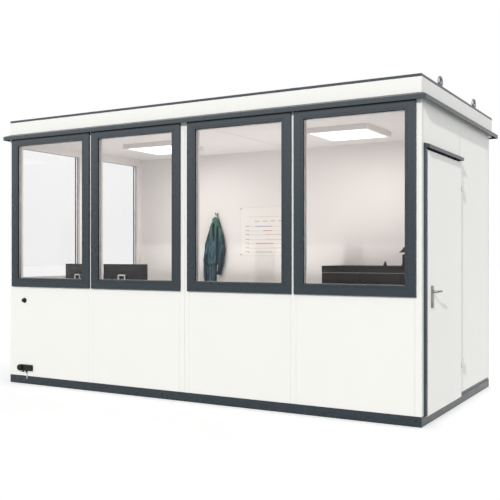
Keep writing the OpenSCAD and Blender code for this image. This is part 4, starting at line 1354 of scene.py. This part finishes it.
@dataclass
class Sideboard:
    """The dark cabinet along the back wall with the lamp and the paperweight on it."""

    shop: Workshop
    board: float = 0.064
    door: float = 0.020
    rail: float = 0.006
    gap: float = 0.0015
    doors: int = 3
    plinth: float = 0.06

    def build(self) -> None:
        """Makes the carcass, the doors, the grip rail, the lamp and the paperweight."""
        x0, y0, z0, x1, y1, z1 = Box.of("cabinet")
        front, under, foot, wide = y0 + self.door, z1 - self.board, z0 + self.plinth, (x1 - x0) / self.doors
        solids = [block((x0, y0, under), (x1, y1, z1)), block((x0, front + 0.001, foot), (x1, y1, under), 0.0015),
                  block((x0 + 0.03, front + 0.03, z0), (x1 - 0.03, y1, foot), 0.001)]
        solids += [block((x + self.gap, y0 + 0.002, foot + 0.002), (x + wide - self.gap, front, under - self.rail),
                         0.0015) for x in x0 + wide * np.arange(self.doors)]
        self.shop.piece("cabinet_boards", Skin.DARK_WOOD, solids, "cabinet")
        grip = block((x0 + 0.001, y0 + 0.0005, under - self.rail + 0.0005), (x1 - 0.001, front, under - 0.001), 0.001)
        self.shop.piece("cabinet_grip_rail", Skin.STEEL, [grip])
        self.lamp()
        weight = Box.of("paperweight")
        tall = weight.size[2]
        cone = [(0, 0), (0.0165, 0), (0.018, 0.0015), (0.016, 0.010), (0.0105, 0.030), (0.005, tall - 0.004),
                (0.003, tall - 0.001), (0, tall)]
        turned = lathe(cone, (*weight.centre[:2], weight.low[2]), Z, 32)
        self.shop.piece("paperweight_turned", Skin.PLASTIC, [turned], "paperweight")

    def lamp(self) -> None:
        """A turned foot and stem under a flared shade with a thin rim, open below."""
        box = Box.of("table_lamp")
        foot, rim, tall = (*box.centre[:2], box.low[2]), box.size[0] / 2, box.size[2]
        shade = tall - 0.055
        stem = [(0, 0), (0.053, 0), (0.055, 0.002), (0.055, 0.008), (0.052, 0.012), (0.048, 0.016), (0.045, 0.022),
                (0.045, 0.100), (0.040, 0.110), (0.012, 0.113), (0.008, 0.118), (0.008, shade + 0.02),
                (0, shade + 0.02)]
        hood = [(rim, shade), (rim, shade + 0.002), (0.052, shade + 0.024), (0.030, tall - 0.004), (0.026, tall),
                (0.004, tall), (0.004, tall - 0.003), (0.024, tall - 0.004), (0.028, tall - 0.008),
                (0.049, shade + 0.022), (rim - 0.003, shade)]
        turned = [lathe(stem, foot, Z, 40), lathe(hood, foot, Z, 48)]
        self.shop.piece("table_lamp_turned", Skin.PLASTIC, turned, "table_lamp")


@dataclass(frozen=True)
class PlanRow:
    """One bar of the wall planner: its height, start and end as shares of the sheet, and its finish."""

    height: float
    start: float
    end: float
    skin: Skin


@dataclass
class BackWall:
    """What is fixed to the back wall: the planner and the coat hook."""

    shop: Workshop
    rows: tuple[PlanRow, ...] = (
        PlanRow(0.604, 0.288, 0.590, Skin.BAR_BLUE), PlanRow(0.514, 0.426, 0.590, Skin.BAR_RED),
        PlanRow(0.433, 0.460, 0.800, Skin.RULE_GREY), PlanRow(0.334, 0.481, 0.752, Skin.BAR_AMBER),
        PlanRow(0.252, 0.297, 0.626, Skin.BAR_RED), PlanRow(0.158, 0.560, 0.760, Skin.RULE_GREY),
        PlanRow(0.076, 0.297, 0.590, Skin.BAR_OLIVE))
    head_rule: float = 0.804
    dashes: tuple[float, ...] = tuple(np.arange(0.276, 0.95, 0.144))
    dash: float = 0.056
    hook_width: float = 0.016

    def build(self) -> None:
        """Makes the planner and the hook."""
        self.planner()
        self.hook()

    def planner(self) -> None:
        """A sheet with grey rules, a grey rim of painted shade along its edges, dark marks and coloured bars, held by
        four pins.
        """
        x0, y0, z0, x1, y1, z1 = Box.of("wall_planner")
        wide, tall, face = x1 - x0, z1 - z0, y0 + 0.0012

        def stroke(left: float, right: float, low: float, high: float, proud: float, edge: float = 0.0001) -> Solid:
            """A flat stroke on the sheet, which stands proud of it."""
            return block((left, face - proud, low), (right, face + 0.0002, high), edge, 1)

        heights = [z0 + tall * share for share in (self.head_rule, *(row.height - 0.004 for row in self.rows))]
        rules = [stroke(x0 + 0.14 * wide, x1 - 0.05 * wide, z - 0.0014, z + 0.0014, 0.0004) for z in heights]
        # A thin grey rim round the sheet: painted shade along the sheet's edges.
        rim = np.array([(0, 0.0002), (0.0015, 0.0002), (0.0015, -0.0004), (0, -0.0004)])
        rules += bars_round(rim, rectangle((x0, face, z0), (x1, face, z1), X, Z), Y)
        marks = [stroke(x, x + self.dash, z0 + 0.705 * tall, z0 + 0.716 * tall, 0.0005)
                 for x in x0 + wide * np.array(self.dashes)]
        marks += [stroke(x0 + 0.10 * wide, x0 + 0.17 * wide, z, z + 0.005, 0.0005)
                  for z in (z0 + (row.height + 0.004) * tall for row in self.rows)]
        sheet = block((x0, face, z0), (x1, y1, z1), 0.0008, 1)
        self.shop.piece("planner_sheet", Skin.PAPER, [sheet], "wall_planner")
        self.shop.piece("planner_marks", Skin.MARK_GREY, marks)
        self.shop.piece("planner_rules", Skin.RULE_GREY, rules)
        for skin in sorted({row.skin for row in self.rows}, key=lambda s: s.name):
            bars = [stroke(x0 + row.start * wide, x0 + row.end * wide, z0 + row.height * tall - 0.0035,
                           z0 + row.height * tall + 0.0035, 0.0006, 0.0002) for row in self.rows if row.skin is skin]
            self.shop.piece(f"planner_{skin.value.name}s", skin, bars)
        pin = [(0, 0), (0.007, 0), (0.007, 0.0005), (0.006, 0.0011), (0, 0.0012)]
        pins = [lathe(pin, (x, face, z), -Y, 16) for x in (x0 + 0.012, x1 - 0.012) for z in (z0 + 0.012, z1 - 0.012)]
        self.shop.piece("planner_pins", Skin.STEEL, pins)

    def hook(self) -> None:
        """A slim upright plate with two screws and a peg with a round end, turned up a little."""
        box = Box.of("coat_hook")
        (_, y0, z0, _, wall, z1), (x, _, z) = box, box.centre
        half = self.hook_width / 2
        path = bend([(x, wall - 0.004, z), (x, y0 + 0.014, z), (x, y0 + 0.008, z + 0.014)], 0.010)
        ball = [(0.008 * math.sin(t), -0.008 * math.cos(t)) for t in np.linspace(0, np.pi, 9)]
        solids = [block((x - half, wall - 0.005, z0), (x + half, wall, z1)), shell(carried(circle(0.005), path, X)),
                  lathe(ball, path[-1] + 0.003 * Z, Z, 20)]
        solids += [lathe(button(0.004, 0.0014), (x, wall - 0.005, h), -Y, 16) for h in (z0 + 0.009, z1 - 0.009)]
        self.shop.piece("coat_hook_steel", Skin.STEEL, solids, "coat_hook")


# ---- coat ----


@dataclass(frozen=True)
class Fold:
    """A valley pressed into hanging cloth: where it runs, how wide and deep it is and where it ends.

    The places are distances to the right of the hook at the heights of its cloth's top and hem. The
    depth is a share of the cloth's thickness.
    """

    top: float
    hem: float
    width: float
    depth: float
    start: float = -0.1
    end: float = 1.1
    fade: float = 0.08

    def press(self, x: Array, v: Array) -> Array:
        """The valley's depth: a Gaussian across it, fading in and out along the drop v."""
        away = (x - self.top - (self.hem - self.top) * v) / self.width
        along = np.clip((v - self.start) / self.fade, 0, 1) * np.clip((self.end - v) / self.fade, 0, 1)
        return self.depth * np.exp(-(away**2)) * along


@dataclass(frozen=True)
class Cloth:
    """A hanging layer of cloth.

    Its edges are distances from the hook, from the top to the hem. The drop gives the heights of its
    top and hem over the seat, thick how far its front stands off and slant how much lower the right
    end of the hem hangs.
    """

    left: tuple[float, ...]
    right: tuple[float, ...]
    folds: tuple[Fold, ...]
    drop: tuple[float, float]
    thick: float
    slant: float = 0.0


@dataclass
class Coat:
    """A jacket hung by its collar: the body, an inner layer below the hem, two sleeves and a collar.

    Heights hang down from the seat, which is the point of the wall behind the collar. A shade is a
    stroke of painted shade from (x, z) to (x, z) over the front, with its width and its strength.
    """

    shop: Workshop
    body: Cloth = Cloth(
        (-0.034, -0.088, -0.118, -0.140, -0.150, -0.152, -0.150), (0.014, 0.048, 0.074, 0.094, 0.104, 0.094, 0.060),
        (Fold(-0.018, -0.026, 0.0110, 0.90, 0.12, 0.50), Fold(0.032, 0.020, 0.0085, 0.75),
         Fold(-0.070, -0.104, 0.0110, 0.45, 0.20), Fold(0.050, 0.066, 0.0110, 0.42, 0.12),
         Fold(-0.048, -0.066, 0.0070, 0.28, 0.45), Fold(0.074, 0.088, 0.0090, 0.35, 0.35),
         Fold(-0.002, -0.014, 0.0060, 0.28, 0.55)), (-0.006, -0.545), 0.060, -0.020)
    inner: Cloth = Cloth(
        (-0.120, -0.128, -0.128, -0.124), (-0.004, -0.008, -0.012, -0.014),
        (Fold(-0.092, -0.090, 0.008, 0.45), Fold(-0.056, -0.062, 0.007, 0.35), Fold(-0.026, -0.030, 0.006, 0.30)),
        (-0.44, -0.770), 0.030)
    left_sleeve: Pairs = ((-0.066, -0.110), (-0.112, -0.240), (-0.132, -0.370), (-0.143, -0.520), (-0.148, -0.640),
                          (-0.136, -0.765))
    right_sleeve: Pairs = ((0.040, -0.100), (0.078, -0.220), (0.108, -0.330), (0.104, -0.440), (0.060, -0.560),
                           (0.034, -0.640))
    shades: Pairs = (
        (-0.019, -0.081, -0.015, -0.250, 0.018, 1.00), (0.037, -0.044, 0.062, -0.112, 0.014, 0.92),
        (0.031, -0.118, 0.026, -0.308, 0.014, 0.92), (0.026, -0.308, 0.019, -0.603, 0.016, 1.00),
        (0.076, -0.086, 0.104, -0.276, 0.014, 0.80), (0.104, -0.276, 0.128, -0.345, 0.016, 0.92),
        (-0.104, -0.170, -0.130, -0.339, 0.019, 1.00), (-0.110, -0.545, 0.012, -0.520, 0.013, 0.92),
        (-0.122, -0.430, -0.118, -0.720, 0.021, 1.00), (0.126, -0.345, 0.076, -0.540, 0.024, 0.92),
        (0.076, -0.540, 0.034, -0.660, 0.032, 1.00), (-0.072, -0.100, -0.092, -0.265, 0.013, 0.57),
        (0.048, -0.290, 0.058, -0.470, 0.038, 0.52), (-0.006, -0.540, -0.009, -0.740, 0.013, 0.69),
        (-0.036, -0.270, -0.062, -0.330, 0.016, 0.34), (-0.090, -0.420, -0.040, -0.470, 0.013, 0.34))

    def build(self) -> None:
        """Makes the whole garment as one piece of cloth layers."""
        seat = np.array([Box.of("coat_hook").centre[0], *Box.of("coat").high[1:]])
        layers = [self.drape(seat, self.body), self.drape(seat, self.inner),
                  self.sleeve(seat, self.left_sleeve, 0.026, 0.4), self.sleeve(seat, self.right_sleeve, 0.034, 1.9),
                  self.collar(seat)]
        made = self.shop.piece("hanging_coat", Skin.CLOTH, layers, "coat", crease=80)
        self.shade(made.data, seat)

    def shade(self, mesh: bpy.types.Mesh, seat: Array) -> None:
        """Stores the painted shade of the folds and creases at each point, for its finish.

        At a distance d from a stroke of strength s the cloth darkens by s exp(-(d / width)^4), and
        the strongest stroke counts.

        Args:
            mesh: The garment's mesh.
            seat: The point that the strokes are measured from.
        """
        places = np.empty(3 * len(mesh.vertices), np.float32)
        mesh.vertices.foreach_get("co", places)
        places = (places.reshape(-1, 3) - seat)[:, ::2]
        strokes = np.array(self.shades)
        first, reach = strokes[:, 0:2], strokes[:, 2:4] - strokes[:, 0:2]
        away = places[:, None, :] - first[None]
        share = np.clip((away * reach).sum(-1) / (reach**2).sum(-1), 0, 1)
        gap = np.linalg.norm(away - share[..., None] * reach, axis=-1)
        # Painted shade: the strongest stroke sets how far the cloth's colour darkens.
        dark = (strokes[:, 5] * np.exp(-((gap / strokes[:, 4]) ** 4))).max(axis=1)
        mesh.attributes.new("worn", "FLOAT", "POINT").data.foreach_set("value", dark.astype(np.float32))

    def drape(self, seat: Array, cloth: Cloth) -> Solid:
        """A layer of cloth that hangs in front of the wall, pressed into folds.

        Across the layer, u goes from -1 to 1 between edges that follow Bernstein curves of the drop v.
        The front stands off by d (1 - u^4)^(1/2) (1 - f), where f is the sum of the folds and of fine
        wrinkles; the back lies nearly flat. The hem turns in and up, so that the layer looks hollow.

        Args:
            seat: The point of the wall behind the collar.
            cloth: The layer's edges, folds and measures.

        Returns:
            The closed layer.
        """
        v = np.linspace(0, 1, 84)[:, None]
        u = -np.cos(np.linspace(0, np.pi, 88))[None, :]
        left, right = blend_values(v, cloth.left), blend_values(v, cloth.right)
        x = left + (right - left) * (u + 1) / 2
        pressed = sum(fold.press(x, v) for fold in cloth.folds)
        wrinkle = 0.10 * np.sin(31 * v + 4 * u) * np.sin(9 * v - 7 * u) + 0.08 * np.sin(17 * v + 13 * u)
        stand = np.sqrt(np.clip(1 - u**4, 0, 1)) * np.clip(1 - pressed + wrinkle * v**0.5, 0.08, 1.3)
        grow = cloth.thick * (0.45 + 0.55 * np.clip(v * 5, 0, 1)) * (1 - 0.25 * v)
        top, hem = cloth.drop
        z = top + v * (hem - top - cloth.slant * (u + 1) / 2) - 0.006 * v * np.sin(6 * u)
        front = np.stack(np.broadcast_arrays(x, -0.014 - grow * stand, z), axis=-1)
        back = np.stack(np.broadcast_arrays(x, -0.010 + 0.004 * np.abs(u), z), axis=-1)[:, -2:0:-1]
        rings = seat + np.concatenate([front, back], axis=1)
        return self.hollow(rings, ((0.95, 1.0, 0.003), (0.90, 1.0, 0.03), (0.80, 1.0, 0.09)))

    def hollow(self, rings: Array, inside: Pairs) -> Solid:
        """Closes rings of cloth whose last one turns in.

        Args:
            rings: The cloth's rings, from the top to its open end.
            inside: For each ring inside: its share of the last one's width and depth, its share of that
                one's ups and downs, and its rise.

        Returns:
            The closed cloth.
        """
        core = rings[-1].mean(axis=0)
        turned = [core + (rings[-1] - core) * (share, share, level) + (0, 0, up) for share, level, up in inside]
        return shell(np.concatenate([rings, turned]))

    def sleeve(self, seat: Array, line: Pairs, radius: float, phase: float) -> Solid:
        """A sleeve along a Bernstein curve from the shoulder to the cuff, creased round and along it."""
        s, ends = np.linspace(0, 1, 56), np.array(line)
        x, z = blend_values(s, ends[:, 0]), blend_values(s, ends[:, 1])
        path = seat + np.stack([x, -0.030 - 0.012 * np.sin(np.pi * s), z], axis=-1)
        crease = 1 + 0.09 * np.sin(25 * s + phase) * np.sin(np.pi * s) + 0.05 * np.sin(47 * s)
        sizes = blend_values(s, (0.45, 1.10, 1.05, 0.95, 0.80)) * crease
        t = np.linspace(0, 2 * np.pi, 48, endpoint=False)
        lobes = 1 + 0.16 * np.cos(3 * t + phase) + 0.08 * np.cos(7 * t)
        outline = circle(radius, 48, 0.8) * lobes[:, None]
        return self.hollow(carried(outline, path, Y, sizes), ((0.88, 0.88, 0.003), (0.82, 0.82, 0.04)))

    def collar(self, seat: Array) -> Solid:
        """A turned-down collar: a thick ring with a wavy edge, lower at the front."""
        t = np.linspace(0, 2 * np.pi, 48, endpoint=False)[None, :]
        u = np.linspace(0, 2 * np.pi, 12, endpoint=False)[:, None]
        radius = 0.029 + 0.008 * np.cos(u)
        x = -0.009 + radius * 1.15 * np.cos(t)
        y = -0.036 + radius * 0.62 * np.sin(t)
        z = -0.028 + 0.018 * np.sin(u) + 0.010 * np.sin(t) + 0.003 * np.cos(3 * t)
        return shell(seat + np.stack(np.broadcast_arrays(x, y, z), axis=-1), looped=True)


# ---- studio ----


@dataclass
class Studio:
    """The camera, the sun, the sky and the pale floor."""

    eye: Colour = (3.7837, -6.5069, 1.2349)
    turn: float = 29.85
    lens: float = 56.68
    rise: float = 0.0099
    film: float = 36.0
    far: float = 200.0
    key: Colour = (-1.0, 6.2, -2.87)
    key_width: float = 1.5
    key_colour: Colour = (1.0, 0.985, 0.96)
    key_powers: tuple[float, float, float] = (2.05, 0.45, 2.15)
    grazed: tuple[str, ...] = ("right_panel_skin", "right_lintel_panel_skin", "door_leaf_skin", "door_frame_skin")
    room_top: float = 2.36
    room_power: float = 21.5
    sky: float = 0.66
    right: float = 0.36
    behind: float = 0.45
    glow: float = 3.0
    dim: float = 0.35
    reach: float = 60.0

    def build(self) -> None:
        """Sets the view transform, the camera, the lights and the floor."""
        scene = bpy.context.scene
        scene.view_settings.view_transform = "Standard"
        self.camera(scene)
        self.room_light()
        self.world(scene)
        self.floor(scene)

    def camera(self, scene: Scene) -> None:
        """A level camera at eye height, so that upright edges stay upright."""
        data = bpy.data.cameras.new("camera")
        data.lens, data.sensor_width, data.shift_y, data.clip_end = self.lens, self.film, self.rise, self.far
        camera = bpy.data.objects.new("camera", data)
        camera.location = self.eye
        camera.rotation_euler = (math.radians(90), 0, math.radians(self.turn))
        scene.collection.objects.link(camera)
        scene.camera = camera

    def sun(self) -> None:
        """A low sun over the camera's right shoulder: one lamp for each group of pieces that it strikes.

        It is weaker on what stands behind the glass, stronger on the door's wall, which it grazes, and
        leaves the floor to the sky, whose shadows are soft.
        """
        bpy.context.view_layer.update()
        post = Box.of("corner_posts")
        inner_front, inner_right = post.low[1] + 0.04, post.high[0] - 0.04
        groups: dict[str, list[bpy.types.Object]] = {"outdoors": [], "indoors": [], "door_wall": []}
        for piece in [o for o in bpy.context.scene.objects if o.type == "MESH" and o.name != "studio_floor"]:
            corners = np.array([tuple(corner) for corner in piece.bound_box])
            low, high = corners.min(0), corners.max(0)
            behind = low[1] > inner_front and high[0] < inner_right and high[2] < self.room_top
            groups["indoors" if behind else "outdoors"].append(piece)
            if piece.name in self.grazed:
                groups["door_wall"].append(piece)
        turn = Vector(self.key).to_track_quat("-Z", "Y").to_euler()
        for (group, pieces), power in zip(groups.items(), self.key_powers):
            light = lamp(f"key_{group}", "SUN", power, self.key_colour, turn=turn, angle=math.radians(self.key_width))
            lit = light.light_linking.receiver_collection = bpy.data.collections.new(f"{group}_pieces")
            for piece in pieces:
                lit.objects.link(piece)

    def room_light(self) -> None:
        """A wide, weak lamp in the room, unseen, that lifts the ceiling as its pale walls would."""
        lamp("room", "AREA", self.room_power, (1.0, 0.98, 0.965), (0.0, 0.0, 1.0), (math.pi, 0, 0),
             shape="RECTANGLE", size=3.6, size_y=1.6)

    def world(self, scene: Scene) -> None:
        """A soft sky, brighter to the right and behind, that shows as white to the eye.

        Its strength in the direction (x, y, z) is sky + right max(x, 0) + behind y. A gloss sees it glow
        over the front horizon and darken to the right.
        """
        world = bpy.data.worlds.new("sky")
        world.use_nodes = True
        sky = Nodes(world.node_tree)
        seen, gloss = sky.seen()
        way = sky.node("SeparateXYZ", {0: sky.node("TexCoord").outputs["Generated"]}).outputs
        soft = sky.maths("ADD", sky.span(way["X"], self.sky, self.sky + self.right, 0.0, 1.0),
                         sky.span(way["Y"], -self.behind, self.behind, -1.0, 1.0))
        aside = sky.span(way["X"], 1.0, self.dim, 0.35, 0.60)
        ahead = sky.span(way["Y"], self.glow, aside, -0.55, -0.25)
        glow = sky.span(way["Z"], aside, ahead, 0.04, 0.16)
        power = sky.span(gloss, sky.span(seen, soft, 1.0, 0.0, 1.0), glow, 0.0, 1.0)
        background = sky.tree.nodes["Background"].inputs
        sky.put(background["Strength"], power)
        sky.put(background["Color"], (1.0, 1.0, 1.0))
        scene.world = world

    def floor(self, scene: Scene) -> None:
        """A wide white floor that keeps the shadow and otherwise shows as white as the sky.

        It looks paler to the eye than to the light that it bounces.
        """
        shader = Shader("studio_floor")
        shader.lay("Roughness", 0.9)
        shader.lay("Specular IOR Level", 0.0)
        shader.lay("Emission Color", (1.0, 1.0, 1.0))
        seen = shader.maths("MAXIMUM", *shader.seen())
        shader.lay("Emission Strength", shader.span(seen, 0.0, 0.42, 0.0, 1.0))
        shader.lay("Base Color", shader.mix(seen, (0.66, 0.66, 0.665), (0.86, 0.86, 0.865)))
        mesh = bpy.data.meshes.new("studio_floor")
        corners = rectangle((-self.reach, -self.reach, 0), (self.reach, self.reach, 0))
        mesh.from_pydata(corners.tolist(), [], [(0, 1, 2, 3)])
        mesh.materials.append(shader.material)
        floor = bpy.data.objects.new("studio_floor", mesh)
        scene.collection.objects.link(floor)
        floor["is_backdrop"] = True


def main() -> None:
    logging.basicConfig(level=logging.INFO, format="%(name)s: %(message)s")
    cad_low, cad_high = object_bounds()
    shop, studio = Workshop(), Studio()
    studio.build()
    Base(shop).build()
    Walls(shop).build()
    WindowRow(shop, "front", 4, X, Y).build()
    WindowRow(shop, "left", 2, Y, X).build()
    for assembly in (Door, Roof, Fittings, Lights, Desk, Sideboard, BackWall, Coat):
        assembly(shop).build()
    studio.sun()
    log.info("all pieces hold %d triangles", shop.triangles)
    low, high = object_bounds()
    boxes = {"cad": [list(cad_low), list(cad_high)], "visual": [list(low), list(high)]}


if __name__ == "__main__":
    main()
